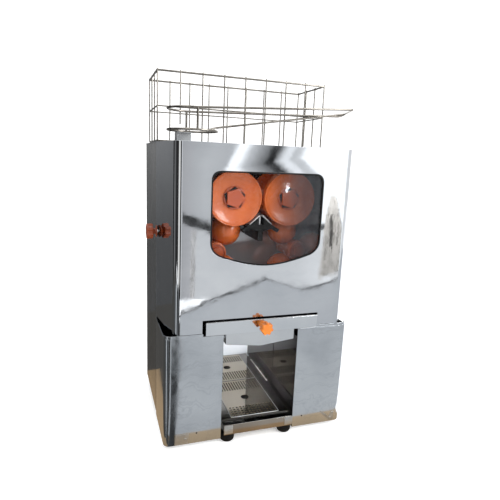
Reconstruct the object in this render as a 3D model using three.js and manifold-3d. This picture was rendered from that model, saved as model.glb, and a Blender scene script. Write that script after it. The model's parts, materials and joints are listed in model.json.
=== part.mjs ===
// Automatic orange juicer for a counter, built from the separate pieces it comes apart into.
// Millimetres, +Z up, +X to the right of a person who faces the machine, +Y towards its back.
// Heights start at the counter. Depths start at the front face of the polished front cover.
import * as THREE from "three";
import Module from "manifold-3d";
import { mergeVertices } from "three/addons/utils/BufferGeometryUtils.js";

const wasm = await Module();
wasm.setup();

// Clearances shared by all pieces
const SEAT_GAP = 0.3;
const OVERRUN = 5;
const DRUM_SIDES = 32;
const ROUND_SIDES = 20;
const BALL_SIDES = 14;
const SMALL_ROUND_SIDES = 12;
const WIRE_SIDES = 6;

// Wall that carries the drums, and the power switch below the back panel
const WALL = {
  front: 126.7, sheet: 3, halfWidth: 196, edge: 10, low: 249, lugLow: 435, lugHigh: 459, lugFront: 106,
  tongueHalf: 76, tongueLow: 206,
};
const SWITCH = {
  x: 118, height: 236, halfWidth: 15, halfHeight: 20, proud: 3, body: 20, bezel: 4, margin: 15,
};

// Casing
const PANEL_LAP = 15;
const PANEL_LOW = SWITCH.height + SWITCH.halfHeight + SWITCH.bezel + SWITCH.margin;
const CASING = {
  halfWidth: WALL.halfWidth + WALL.edge,
  back: 330, seam: 130, top: 633, bottom: 18, sheet: 2, corner: 8, flange: 16,
  serviceHalfWidth: 150, serviceLow: PANEL_LOW + PANEL_LAP, serviceHigh: 600,
};
const COVER_TAPER = 20;
const COVER = {
  frontHalfWidth: CASING.halfWidth - COVER_TAPER, corner: 14, bottom: 253, sheet: 2,
  slotHalfWidth: 128.7, slotTop: 280.6, travelSlot: 18,
};
const WINDOW = {
  centre: 2.5, halfWidth: 119.5, top: 580.5, cornerTop: 20, sideLow: 442,
  shoulder: 98, shoulderHeight: 411, haunch: 60, haunchHeight: 398.5, lowest: 391.3,
  gasketWidth: 2.6, gasketProud: 0.6, pane: 4, paneLap: 9,
};
const TOP_PLATE = { sheet: 2, inletRadius: 43 };
const VENT = {
  halfWidth: 165, low: PANEL_LOW, high: 615, sheet: 2,
  rows: 7, slot: 5, pitch: 12, inner: 14, outer: 124, from: 470,
};

// Base and lower bay
const FOOT = { radius: 14.2, height: 20, spread: 69.2, front: 9, rear: 300, bevel: 4, seatShare: 0.8 };
const RAIL = { inner: 58.5, width: 20, low: 20, high: 43, front: -8, back: 326 };
const CROSS = { front: 140, rear: 292, depth: 20, halfWidth: CASING.halfWidth - CASING.sheet - SEAT_GAP };
const BAY_HALF_WIDTH = 83.7;
const BAY = {
  halfWidth: BAY_HALF_WIDTH, ceiling: 245, sheet: 2, flange: CROSS.halfWidth - BAY_HALF_WIDTH,
};
const PAN = {
  rimHalf: 79, rimFront: 11, rimBack: 327, rim: 2, floor: 26, wellHalf: 58, wall: 2,
  ledge: 4, wellFront: 13.7, wellBack: 325,
};
const PERF = {
  halfWidth: 57, front: 14.6, split: 176, back: 322, sheet: 2,
  slotPitch: 8, slotWidth: 3.4, slots: 13, roundRadius: 9.5, square: 5.4, squarePitch: 11.4,
  squareColumns: 9, squareRows: 4, squareFrom: 21.5,
};
const PERF_ROWS = {
  frontSlots: [128, 168], rearSlots: [184, 224], backSlots: [280, 316], roundFront: 92, roundRear: 251,
};
const BIN = {
  inner: BAY_HALF_WIDTH, outer: CASING.halfWidth - SEAT_GAP, front: -1, back: 129.5, floor: 9.5, top: 247,
  sheet: 2, corner: 14, padRadius: 8, padInset: 24,
};

// Squeezing drums, their shafts and gears
const DRUM = {
  cupAxis: 60, cupHeight: 526, ballAxis: 93, midDepth: 80, front: 38, back: 122,
  cupRadius: 56, cupHollow: 37.5, cupPitch: 60, discRadius: 57, discDepth: 5,
  ballRadius: 34, ballPitch: 51, ballNeck: 8, hubRadius: 22, hubFront: 46, lobes: 3,
};
const SHAFT = { radius: 10, running: 0.35, front: 34, back: 216 };
const CAP = { radius: 21, depth: 9, points: 5, skirt: 24, skirtDepth: 2.4 };
const HUB_RING = { radius: 20, wall: 2.6, depth: 5, cap: 13.5, capDepth: 4.5 };
const GEAR = {
  module: 6, teeth: 20, width: 16, front: 160, pressure: 20, backlash: 0.6, bore: 10.35,
  addendumShare: 0.95, dedendumShare: 1.25,
};
const PINION = { teeth: 15, angle: -50, shaft: 9, back: 236 };
const BEARING = { flange: 23, flangeDepth: 5, boss: 15, noseDepth: 2.4, bossDepth: 16 };
const GEAR_PLATE = { front: 205, sheet: 3, halfWidth: 168, low: 296, high: 604, post: 7, postX: 158 };
const GEARBOX = { halfWidth: 46, halfHeight: 44, depth: 92, hole: 12 };
const MOTOR = { radius: 44, length: 128, endCap: 10 };

// Knife group between the drums
const KNIFE = { half: 1.5, top: 491, low: 452, front: 44, back: 116, bevel: 6 };
const HOLDER = { half: 5.6, low: 436, high: 470, front: 36, back: 126.4, slot: 0.35 };
const ARM = {
  topX: 7, topZ: 485, kneeX: 24, kneeZ: 470.7, tipX: 43, tipZ: 460, toeX: 38, toeZ: 453.5,
  heelX: 24, heelZ: 461.5, rootZ: 457, fingerDepth: 7.5, back: 121.5,
};
const DEFLECTOR = { topX: 3.4, topZ: 491.3, lowX: 24.6, lowZ: 472.1, sheet: 1.4 };

// Juice path
const COLLECTOR = { topHalf: 124, lowHalf: 110, top: 318, low: 279, front: 8, back: 126.4, sheet: 2 };
const DRAWER = {
  shift: 2.9, half: 115, front: 4, back: 121, floor: 252, top: 271, sheet: 1.6,
  holes: 8, holeRows: 3, hole: 8,
};
const DRAWER_FRONT = { half: 124.9, lipHalf: 60, low: 248, high: 275, front: -2.4, sheet: 2 };
const RUNNER = { front: 1.9, sheet: 2, flange: 9, web: 16, cross: 12 };
const TANK = {
  half: 77, top: 247.4, shoulder: 222.5, apex: 213.5, front: 5, back: 126.4, sheet: 2,
  spoutY: 92, spoutRadius: 9, spoutBore: 6.5, spoutLow: 203,
};
const STAR = { radius: 14.5, valleyShare: 0.8, points: 7, depth: 17, neck: 7, neckDepth: 14 };
const SIDE_KNOB = {
  depth: 115, height: 447, radius: 16, points: 6, head: 14, neck: 6, neckLength: 8,
  screw: 4, screwLength: 16, washer: 13, washerDepth: 1.4,
};
const DRAWER_KNOB_HEIGHT = 264.5;

// Wire goods on the top
const BASKET_EDGE = 0.5;
const GUIDE_INSET = 61.5;
const BRACKET_INSET = 27;
const BASKET = {
  left: BASKET_EDGE - CASING.halfWidth, right: 164, front: 111.3, depth: 138.6,
  cellsX: 8, cellsY: 3, tiers: 2, tier: 68,
  wire: 1.5, rim: 1.9, proud: 3.5, stub: 34,
};
const GUIDE_RISE = { low: 22, high: 62, crest: 75.5, near: 80.5, tip: 82, brace: 33 };
const GUIDE = {
  ringX: BASKET.left + GUIDE_INSET, ringY: 59, ringRadius: 48.5, wire: 2,
  low: CASING.top + GUIDE_RISE.low, high: CASING.top + GUIDE_RISE.high, crest: CASING.top + GUIDE_RISE.crest,
  nearEnd: 182, nearRise: CASING.top + GUIDE_RISE.near, farEnd: 206, tipX: 219,
  tipRise: CASING.top + GUIDE_RISE.tip, postLean: 3,
  braceX: -85, braceHeight: CASING.top + GUIDE_RISE.brace, arcSteps: 9,
};
const BRACKET = {
  left: GUIDE.ringX - BRACKET_INSET, width: 30, front: 84, depth: 25, groove: 2, grooveDepth: 1.5,
};

// Electrics on the back
const ROCKER = { halfWidth: 9, halfHeight: 13, depth: 9, crown: 3.2 };
const GLAND = { x: -118, height: SWITCH.height, radius: 11, proud: 13, bore: 4.5, thread: 8, inside: 9 };

// Colours and finishes
const FINISH = {
  mirror: { color: 0xc7ccd2, metalness: 1, roughness: 0.12 },
  satin: { color: 0x9a9da0, metalness: 1, roughness: 0.32 },
  wire: { color: 0xb4b2ac, metalness: 1, roughness: 0.25 },
  orange: { color: 0xd7693c, metalness: 0, roughness: 0.28 },
  brightOrange: { color: 0xe08a2e, metalness: 0, roughness: 0.35 },
  black: { color: 0x1a1a1c, metalness: 0, roughness: 0.5 },
  rubber: { color: 0x161616, metalness: 0, roughness: 0.85 },
  acrylic: { color: 0x2a2c30, metalness: 0, roughness: 0.05, transparent: true, opacity: 0.35 },
  steel: { color: 0xa9abab, metalness: 1, roughness: 0.3 },
  cast: { color: 0x6f7478, metalness: 0.8, roughness: 0.55 },
  motor: { color: 0x3b4046, metalness: 0.3, roughness: 0.5 },
};

const machine = new THREE.Group();
const SIDES = { left: -1, right: 1 };

// A closed mesh as a solid that can be joined and cut
function solid(geometry) {
  const bare = geometry.clone();
  bare.deleteAttribute("normal");
  bare.deleteAttribute("uv");
  const merged = mergeVertices(bare);
  return new wasm.Manifold(new wasm.Mesh({
    numProp: 3,
    vertProperties: new Float32Array(merged.attributes.position.array),
    triVerts: new Uint32Array(merged.index.array),
  }));
}

// A solid back as a geometry for a mesh
function surface(body) {
  const mesh = body.getMesh();
  const geometry = new THREE.BufferGeometry();
  geometry.setAttribute("position", new THREE.BufferAttribute(new Float32Array(mesh.vertProperties), 3));
  geometry.setIndex(new THREE.BufferAttribute(new Uint32Array(mesh.triVerts), 1));
  geometry.computeVertexNormals();
  return geometry;
}

function join(...bodies) {
  return bodies.flat().reduce((whole, body) => whole.add(body));
}

function cut(body, ...cutters) {
  return cutters.flat().reduce((rest, cutter) => rest.subtract(cutter), body);
}

// A named piece of the machine, placed by its position
function piece(name, body, finish, at = [0, 0, 0]) {
  const mesh = new THREE.Mesh(surface(body), new THREE.MeshStandardMaterial({ ...finish, flatShading: true }));
  mesh.name = name;
  mesh.position.set(...at);
  machine.add(mesh);
}

function block([x0, x1], [y0, y1], [z0, z1]) {
  const geometry = new THREE.BoxGeometry(Math.abs(x1 - x0), Math.abs(y1 - y0), Math.abs(z1 - z0));
  return solid(geometry.translate((x0 + x1) / 2, (y0 + y1) / 2, (z0 + z1) / 2));
}

// A range of x on one side of the middle, from two distances
function sideRange(side, near, far) {
  return side > 0 ? [near, far] : [-far, -near];
}

function rodX(radius, [x0, x1], y, z, sides = ROUND_SIDES) {
  const geometry = new THREE.CylinderGeometry(radius, radius, x1 - x0, sides);
  return solid(geometry.rotateZ(Math.PI / 2).translate((x0 + x1) / 2, y, z));
}

function rodY(radius, x, [y0, y1], z, sides = ROUND_SIDES) {
  const geometry = new THREE.CylinderGeometry(radius, radius, y1 - y0, sides);
  return solid(geometry.translate(x, (y0 + y1) / 2, z));
}

function rodZ(radius, x, y, [z0, z1], sides = ROUND_SIDES) {
  const geometry = new THREE.CylinderGeometry(radius, radius, z1 - z0, sides);
  return solid(geometry.rotateX(Math.PI / 2).translate(x, y, (z0 + z1) / 2));
}

// An outline in x and y raised from one height to another
function raised(outline, [z0, z1]) {
  const settings = { depth: z1 - z0, bevelEnabled: false, curveSegments: 6 };
  return solid(new THREE.ExtrudeGeometry(outline, settings).translate(0, 0, z0));
}

// An outline in x and z run from one depth to another
function run(outline, [y0, y1]) {
  const settings = { depth: y1 - y0, bevelEnabled: false, curveSegments: 6 };
  return solid(new THREE.ExtrudeGeometry(outline, settings).rotateX(Math.PI / 2).translate(0, y1, 0));
}

function polygon(points) {
  return new THREE.Shape(points.map(([u, v]) => new THREE.Vector2(u, v)));
}

// A lathe-turned solid about the Z axis from a profile of radius and height
function turned(profile, sides = ROUND_SIDES) {
  const points = profile.map(([radius, height]) => new THREE.Vector2(radius, height));
  return solid(new THREE.LatheGeometry(points, sides).rotateX(Math.PI / 2));
}

// A round wire along a path
function wireAlong(path, radius, steps, sides = WIRE_SIDES) {
  const section = new THREE.Shape();
  for (let corner = 0; corner < sides; corner += 1) {
    const angle = (corner / sides) * Math.PI * 2;
    const place = [radius * Math.cos(angle), radius * Math.sin(angle)];
    if (corner === 0) section.moveTo(...place);
    else section.lineTo(...place);
  }
  section.closePath();
  return solid(new THREE.ExtrudeGeometry(section, { steps, extrudePath: path, bevelEnabled: false }));
}

// A round wire between two points
function wireBetween(from, to, radius, sides = WIRE_SIDES) {
  const path = new THREE.LineCurve3(new THREE.Vector3(...from), new THREE.Vector3(...to));
  return wireAlong(path, radius, 1, sides);
}

// A star outline with rounded-looking lobes, drawn in two coordinates
function starShape(radius, points) {
  const star = [];
  const shares = [1, 1, STAR.valleyShare, STAR.valleyShare];
  for (let step = 0; step < points * shares.length; step += 1) {
    const angle = ((step - shares.length / 8) / (points * shares.length)) * Math.PI * 2;
    const reach = radius * shares[step % shares.length];
    star.push([reach * Math.cos(angle), reach * Math.sin(angle)]);
  }
  return polygon(star);
}

// Plan of the casing in front of the seam: the front is narrower and its corners are round
function taperHalf(y) {
  const growth = (CASING.halfWidth - COVER.frontHalfWidth) / CASING.seam;
  return COVER.frontHalfWidth + growth * y;
}

function frontPlan(inset, front, back, corner) {
  const narrow = taperHalf(front) - inset;
  const wide = taperHalf(back) - inset;
  const lean = (wide - narrow) / (back - front);
  const plan = new THREE.Shape();
  plan.moveTo(-wide, back);
  plan.lineTo(-narrow - lean * corner, front + corner);
  plan.quadraticCurveTo(-narrow, front, -narrow + corner, front);
  plan.lineTo(narrow - corner, front);
  plan.quadraticCurveTo(narrow, front, narrow + lean * corner, front + corner);
  plan.lineTo(wide, back);
  plan.closePath();
  return plan;
}

// Outline of the window, drawn in by the given inset
function windowShape(inset) {
  const w = WINDOW;
  const half = w.halfWidth - inset;
  const top = w.top - inset;
  const lowest = w.lowest + inset;
  const shape = new THREE.Shape();
  shape.moveTo(w.centre - half, w.sideLow);
  shape.lineTo(w.centre - half, top - w.cornerTop);
  shape.quadraticCurveTo(w.centre - half, top, w.centre - half + w.cornerTop, top);
  shape.lineTo(w.centre + half - w.cornerTop, top);
  shape.quadraticCurveTo(w.centre + half, top, w.centre + half, top - w.cornerTop);
  shape.lineTo(w.centre + half, w.sideLow);
  shape.quadraticCurveTo(w.centre + half, w.shoulderHeight + w.cornerTop / 2 + inset / 2,
    w.centre + w.shoulder - inset / 2, w.shoulderHeight + inset);
  shape.bezierCurveTo(w.centre + w.haunch, w.haunchHeight + inset, w.centre + w.haunch / 2, lowest,
    w.centre, lowest);
  shape.bezierCurveTo(w.centre - w.haunch / 2, lowest, w.centre - w.haunch, w.haunchHeight + inset,
    w.centre - w.shoulder + inset / 2, w.shoulderHeight + inset);
  shape.quadraticCurveTo(w.centre - half, w.shoulderHeight + w.cornerTop / 2 + inset / 2,
    w.centre - half, w.sideLow);
  return shape;
}

// Rear casing: one folded sheet with two sides and a back, its front edges turned in
function buildCasing() {
  const c = CASING;
  const plan = (inset) => {
    const half = c.halfWidth - inset;
    const back = c.back - inset;
    const corner = c.corner - inset;
    const outline = new THREE.Shape();
    outline.moveTo(-half, c.seam + inset);
    outline.lineTo(half, c.seam + inset);
    outline.lineTo(half, back - corner);
    outline.quadraticCurveTo(half, back, half - corner, back);
    outline.lineTo(corner - half, back);
    outline.quadraticCurveTo(-half, back, -half, back - corner);
    outline.closePath();
    return outline;
  };
  const height = [c.bottom, c.top - TOP_PLATE.sheet - SEAT_GAP];
  const open = [c.bottom - OVERRUN, c.top + OVERRUN];
  const hollow = raised(plan(c.sheet), open);
  const lip = c.halfWidth - c.flange;
  const mouth = block([-lip, lip], [c.seam - OVERRUN, c.seam + c.sheet + OVERRUN], open);
  const service = block([-c.serviceHalfWidth, c.serviceHalfWidth], [c.back - c.sheet - OVERRUN, c.back + OVERRUN],
    [c.serviceLow, c.serviceHigh]);
  const back = [c.back - c.sheet - OVERRUN, c.back + OVERRUN];
  const s = SWITCH;
  const switchHole = block([s.x - s.halfWidth + s.bezel - SEAT_GAP, s.x + s.halfWidth - s.bezel + SEAT_GAP], back,
    [s.height - s.halfHeight + s.bezel - SEAT_GAP, s.height + s.halfHeight - s.bezel + SEAT_GAP]);
  const glandHole = rodY(GLAND.thread + SEAT_GAP, GLAND.x, back, GLAND.height);
  piece("rear_casing", cut(raised(plan(0), height), hollow, mouth, service, switchHole, glandHole), FINISH.satin);
}

// Vented panel over the service opening in the back
function buildBackPanel() {
  const v = VENT;
  const face = [CASING.back + SEAT_GAP, CASING.back + SEAT_GAP + v.sheet];
  const panel = block([-v.halfWidth, v.halfWidth], face, [v.low, v.high]);
  const slots = [];
  for (let row = 0; row < v.rows; row += 1) {
    const height = v.from + row * v.pitch;
    for (const side of Object.values(SIDES)) {
      slots.push(block(sideRange(side, v.inner, v.outer), [face[0] - OVERRUN, face[1] + OVERRUN],
        [height, height + v.slot]));
    }
  }
  piece("back_panel", cut(panel, slots), FINISH.satin);
}

// Top plate with the round inlet over the gap between the cup drums
function buildTopPlate() {
  const heights = [CASING.top - TOP_PLATE.sheet, CASING.top];
  const inset = COVER.sheet + SEAT_GAP;
  const front = frontPlan(inset, inset, CASING.seam + OVERRUN, COVER.corner);
  const rear = block([-CASING.halfWidth, CASING.halfWidth], [CASING.seam, CASING.back], heights);
  const inlet = rodZ(TOP_PLATE.inletRadius, 0, DRUM.midDepth, [heights[0] - OVERRUN, heights[1] + OVERRUN]);
  piece("top_plate", cut(join(raised(front, heights), rear), inlet), FINISH.satin);
}

// Front cover: a polished sheet bent round to both sides, with the window and the drawer slot
function buildFrontCover() {
  const k = COVER;
  const back = CASING.seam - SEAT_GAP;
  const shell = raised(frontPlan(0, 0, back, k.corner), [k.bottom, CASING.top]);
  const hollow = raised(frontPlan(k.sheet, k.sheet, back + OVERRUN, k.corner - k.sheet),
    [k.bottom - OVERRUN, CASING.top + OVERRUN]);
  const window = run(windowShape(0), [-OVERRUN, k.sheet + OVERRUN]);
  const slot = block([-k.slotHalfWidth, k.slotHalfWidth], [-OVERRUN, k.sheet + OVERRUN],
    [k.bottom - OVERRUN, k.slotTop]);
  const notch = k.travelSlot / 2;
  const notches = Object.values(SIDES).map((side) => {
    const across = sideRange(side, k.frontHalfWidth, CASING.halfWidth + OVERRUN);
    return block(across, [SIDE_KNOB.depth - notch, CASING.seam + OVERRUN],
      [SIDE_KNOB.height - notch, SIDE_KNOB.height + notch]);
  });
  piece("front_cover", cut(shell, hollow, window, slot, notches), FINISH.mirror);
}

function buildWindow() {
  const w = WINDOW;
  const inner = COVER.sheet + SEAT_GAP;
  const ring = run(windowShape(SEAT_GAP), [-w.gasketProud, COVER.sheet]);
  const light = run(windowShape(SEAT_GAP + w.gasketWidth), [-OVERRUN, COVER.sheet + OVERRUN]);
  piece("window_gasket", cut(ring, light), FINISH.rubber);
  piece("window_pane", run(windowShape(-w.paneLap), [inner, inner + w.pane]), FINISH.acrylic);
}

// Star knob that turns on a screw, built along -Y with its seat at zero
function starKnobBody(radius, points, head, neck, neckLength) {
  const star = run(starShape(radius, points), [-neckLength - head, -neckLength]);
  const stem = rodY(neck, 0, [-neckLength - head / 2, 0], 0, SMALL_ROUND_SIDES);
  return join(star, stem);
}

// Screws with star heads that clamp the cover to the lugs of the bearing wall
function buildSideKnobs() {
  const k = SIDE_KNOB;
  const seat = CASING.halfWidth + SEAT_GAP;
  for (const [name, side] of Object.entries(SIDES)) {
    const washer = rodX(k.washer, sideRange(side, seat, seat + k.washerDepth), k.depth, k.height, SMALL_ROUND_SIDES);
    const neck = rodX(k.neck, sideRange(side, seat, seat + k.neckLength), k.depth, k.height, SMALL_ROUND_SIDES);
    const screw = rodX(k.screw, sideRange(side, seat - k.screwLength, seat + k.neckLength), k.depth, k.height,
      SMALL_ROUND_SIDES);
    const start = seat + k.neckLength - SEAT_GAP;
    const star = new THREE.ExtrudeGeometry(starShape(k.radius, k.points), { depth: k.head, bevelEnabled: false });
    star.rotateY(Math.PI / 2).translate(side > 0 ? start : -start - k.head, k.depth, k.height);
    piece(`side_knob_${name}`, join(solid(star), neck, washer, screw), FINISH.orange);
  }
}

// Welded base of square tubes, with the two wide cross tubes that carry the casing
function buildBase() {
  const r = RAIL;
  const rails = Object.values(SIDES).map((side) =>
    block(sideRange(side, r.inner, r.inner + r.width), [r.front, r.back], [r.low, r.high]));
  const front = block([-r.inner - r.width / 2, r.inner + r.width / 2], [r.front, r.front + r.width], [r.low, r.high]);
  const crosses = [CROSS.front, CROSS.rear].map((y) =>
    block([-CROSS.halfWidth, CROSS.halfWidth], [y, y + CROSS.depth], [r.low, r.high]));
  const well = block([-r.inner, r.inner], [CROSS.front - OVERRUN, CROSS.rear + CROSS.depth + OVERRUN],
    [PAN.floor - SEAT_GAP * 2, r.high + OVERRUN]);
  piece("base_frame", join(rails, front, crosses.map((bar) => cut(bar, well))), FINISH.steel);
}

function buildFeet() {
  const f = FOOT;
  const profile = [
    [0, 0], [f.radius - f.bevel, 0], [f.radius, f.bevel], [f.radius, f.height * f.seatShare],
    [f.radius * f.seatShare, f.height - SEAT_GAP], [0, f.height - SEAT_GAP],
  ];
  for (const [end, y] of Object.entries({ front: f.front, rear: f.rear })) {
    for (const [name, side] of Object.entries(SIDES)) {
      piece(`foot_${end}_${name}`, turned(profile, SMALL_ROUND_SIDES), FINISH.rubber, [side * f.spread, y, 0]);
    }
  }
}

// Steel lining of the cup bay: two side walls and a ceiling, with flanges that close the front
function buildBayLining() {
  const b = BAY;
  const depth = [CASING.seam + SEAT_GAP + CASING.sheet, CASING.back - CASING.sheet - SEAT_GAP];
  const low = RAIL.high + SEAT_GAP;
  const walls = Object.values(SIDES).map((side) =>
    block(sideRange(side, b.halfWidth, b.halfWidth + b.sheet), depth, [low, b.ceiling]));
  const roof = block([-b.halfWidth - b.sheet, b.halfWidth + b.sheet], depth, [b.ceiling, b.ceiling + b.sheet]);
  const face = [CASING.seam + SEAT_GAP + CASING.sheet, CASING.seam + SEAT_GAP + CASING.sheet * 2];
  const flanges = Object.values(SIDES).map((side) =>
    block(sideRange(side, b.halfWidth, b.halfWidth + b.flange - SEAT_GAP), face, [low, b.ceiling + b.sheet]));
  piece("bay_lining", join(walls, roof, flanges), FINISH.mirror);
}

// Drip pan that rests on the rails, with a recess for the two perforated plates
function buildDripPan() {
  const p = PAN;
  const seat = RAIL.high + SEAT_GAP;
  const rim = block([-p.rimHalf, p.rimHalf], [p.rimFront, p.rimBack], [seat, seat + p.rim]);
  const body = block([-p.wellHalf, p.wellHalf], [p.wellFront, p.wellBack], [p.floor, seat + p.rim]);
  const inner = p.wellHalf - p.wall - p.ledge;
  const well = block([-inner, inner], [p.wellFront + p.wall + p.ledge, p.wellBack - p.wall - p.ledge],
    [p.floor + p.wall, seat + p.rim + OVERRUN]);
  const lip = PERF.halfWidth + SEAT_GAP;
  const recess = block([-lip, lip], [PERF.front - SEAT_GAP, PERF.back + SEAT_GAP],
    [seat + p.rim - PERF.sheet, seat + p.rim + OVERRUN]);
  piece("drip_pan", cut(join(cut(rim, recess), body), well, recess), FINISH.mirror);
}

// One row of slots across a perforated plate
function slotRow([y0, y1], heights) {
  const p = PERF;
  const slots = [];
  for (let index = 0; index < p.slots; index += 1) {
    const x = (index - (p.slots - 1) / 2) * p.slotPitch;
    slots.push(block([x - p.slotWidth / 2, x + p.slotWidth / 2], [y0, y1], heights));
  }
  return slots;
}

// Grid of square holes at the front of the front plate
function squareField(heights) {
  const p = PERF;
  const holes = [];
  for (let row = 0; row < p.squareRows; row += 1) {
    for (let column = 0; column < p.squareColumns; column += 1) {
      const x = (column - (p.squareColumns - 1) / 2) * p.squarePitch;
      const y = p.squareFrom + row * p.squarePitch;
      holes.push(block([x - p.square / 2, x + p.square / 2], [y - p.square / 2, y + p.square / 2], heights));
    }
  }
  return holes;
}

function buildPerforatedPlates() {
  const p = PERF;
  const low = RAIL.high + SEAT_GAP * 2 + PAN.rim - p.sheet;
  const heights = [low, low + p.sheet];
  const through = [low - OVERRUN, low + p.sheet + OVERRUN];
  const rows = PERF_ROWS;
  const front = block([-p.halfWidth, p.halfWidth], [p.front, p.split - SEAT_GAP], heights);
  const frontHoles = [slotRow(rows.frontSlots, through), squareField(through),
    rodZ(p.roundRadius, 0, rows.roundFront, through, SMALL_ROUND_SIDES)];
  piece("drip_plate_front", cut(front, frontHoles.flat()), FINISH.mirror);
  const rear = block([-p.halfWidth, p.halfWidth], [p.split + SEAT_GAP, p.back], heights);
  const rearHoles = [slotRow(rows.rearSlots, through), slotRow(rows.backSlots, through),
    rodZ(p.roundRadius, 0, rows.roundRear, through, SMALL_ROUND_SIDES)];
  piece("drip_plate_rear", cut(rear, rearHoles.flat()), FINISH.mirror);
}

// Peel bins: open boxes that stand on four pads each and slide out to the front
function buildBins() {
  const b = BIN;
  for (const [name, side] of Object.entries(SIDES)) {
    const plan = (inset) => {
      const shape = new THREE.Shape();
      const inner = side * (b.inner + inset);
      const outer = side * (b.outer - inset);
      const round = b.corner - inset;
      shape.moveTo(inner, b.front + inset);
      shape.lineTo(outer - side * round, b.front + inset);
      shape.quadraticCurveTo(outer, b.front + inset, outer, b.front + inset + round);
      shape.lineTo(outer, b.back - inset);
      shape.lineTo(inner, b.back - inset);
      shape.closePath();
      return shape;
    };
    const pads = [];
    for (const x of [b.inner + b.padInset, b.outer - b.padInset]) {
      for (const y of [b.front + b.padInset, b.back - b.padInset]) {
        pads.push(rodZ(b.padRadius, side * x, y, [0, b.floor + b.sheet / 2], SMALL_ROUND_SIDES));
      }
    }
    const shell = cut(raised(plan(0), [b.floor, b.top]), raised(plan(b.sheet), [b.floor + b.sheet, b.top + OVERRUN]));
    piece(`peel_bin_${name}`, join(shell, pads), FINISH.mirror);
  }
}

// Height of the ball drums, set by the equal gears that join each pair
function ballHeight() {
  const drop = Math.sqrt((DRUM.cupAxis * 2) ** 2 - (DRUM.ballAxis - DRUM.cupAxis) ** 2);
  return DRUM.cupHeight - drop;
}

// Angle from a cup drum down to its ball drum on the left side, in radians
function lineAngle() {
  return Math.atan2(ballHeight() - DRUM.cupHeight, DRUM.cupAxis - DRUM.ballAxis);
}

// Cup drum with three round hollows, the first straight down, and a flat disc in front
function cupDrum() {
  const d = DRUM;
  const body = join(rodY(d.cupRadius, 0, [d.front + d.discDepth / 2, d.back], 0, DRUM_SIDES),
    rodY(d.discRadius, 0, [d.front, d.front + d.discDepth], 0, DRUM_SIDES));
  const hollows = [];
  for (let lobe = 0; lobe < d.lobes; lobe += 1) {
    const angle = -Math.PI / 2 + (lobe / d.lobes) * Math.PI * 2;
    const ball = new THREE.SphereGeometry(d.cupHollow, BALL_SIDES, BALL_SIDES / 2);
    ball.translate(d.cupPitch * Math.cos(angle), d.midDepth, d.cupPitch * Math.sin(angle));
    hollows.push(solid(ball));
  }
  const bore = rodY(SHAFT.radius + SHAFT.running, 0, [d.front - OVERRUN, d.back + OVERRUN], 0);
  const guard = block([-d.cupRadius * 2, d.cupRadius * 2], [d.front + d.discDepth, d.back * 2],
    [-d.cupRadius * 2, d.cupRadius * 2]);
  return cut(body, hollows.map((hollow) => hollow.intersect(guard)), bore);
}

// Ball drum with three balls on a hub, turned to mesh with the hollows of its cup drum
function ballDrum(side) {
  const d = DRUM;
  const line = lineAngle();
  const meshed = line + Math.PI - (-Math.PI / 2 - line);
  const first = side < 0 ? meshed : Math.PI - meshed;
  const balls = [];
  for (let lobe = 0; lobe < d.lobes; lobe += 1) {
    const angle = first + (lobe / d.lobes) * Math.PI * 2;
    const ball = new THREE.SphereGeometry(d.ballRadius, BALL_SIDES + 2, BALL_SIDES / 2 + 1);
    const centre = [d.ballPitch * Math.cos(angle), d.midDepth, d.ballPitch * Math.sin(angle)];
    balls.push(solid(ball.translate(...centre)));
    balls.push(wireBetween([0, d.midDepth, 0], centre, d.ballNeck, SMALL_ROUND_SIDES));
  }
  const hub = rodY(d.hubRadius, 0, [d.hubFront, d.back], 0);
  const bore = rodY(SHAFT.radius + SHAFT.running, 0, [d.hubFront - OVERRUN, d.back + OVERRUN], 0);
  return cut(join(hub, balls), bore);
}

// Five-sided nut on the front of a cup drum, with a blind hole for the shaft end
function cupCap() {
  const c = CAP;
  const face = DRUM.front - SEAT_GAP;
  const outline = [];
  for (let point = 0; point < c.points; point += 1) {
    const angle = (point / c.points) * Math.PI * 2;
    outline.push([c.radius * Math.cos(angle), c.radius * Math.sin(angle)]);
  }
  const nut = run(polygon(outline), [face - c.depth, face - c.skirtDepth / 2]);
  const skirt = rodY(c.skirt, 0, [face - c.skirtDepth, face], 0);
  const blind = rodY(SHAFT.radius + SHAFT.running, 0, [SHAFT.front - SEAT_GAP, face + OVERRUN], 0);
  return cut(join(nut, skirt), blind);
}

// Ring and nut on the front of a ball drum
function hubCap() {
  const h = HUB_RING;
  const face = DRUM.hubFront - SEAT_GAP;
  const ring = cut(rodY(h.radius, 0, [face - h.depth, face], 0),
    rodY(h.radius - h.wall, 0, [face - h.depth - OVERRUN, face - h.wall], 0));
  const outline = [];
  for (let point = 0; point < CAP.points; point += 1) {
    const angle = (point / CAP.points) * Math.PI * 2;
    outline.push([h.cap * Math.cos(angle), h.cap * Math.sin(angle)]);
  }
  const nut = run(polygon(outline), [face - h.depth - h.capDepth, face - h.wall / 2]);
  const blind = rodY(SHAFT.radius + SHAFT.running, 0, [ballShaftFront() - SEAT_GAP, face + OVERRUN], 0);
  return cut(join(ring, nut), blind);
}

function ballShaftFront() {
  return DRUM.hubFront - HUB_RING.depth;
}

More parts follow.
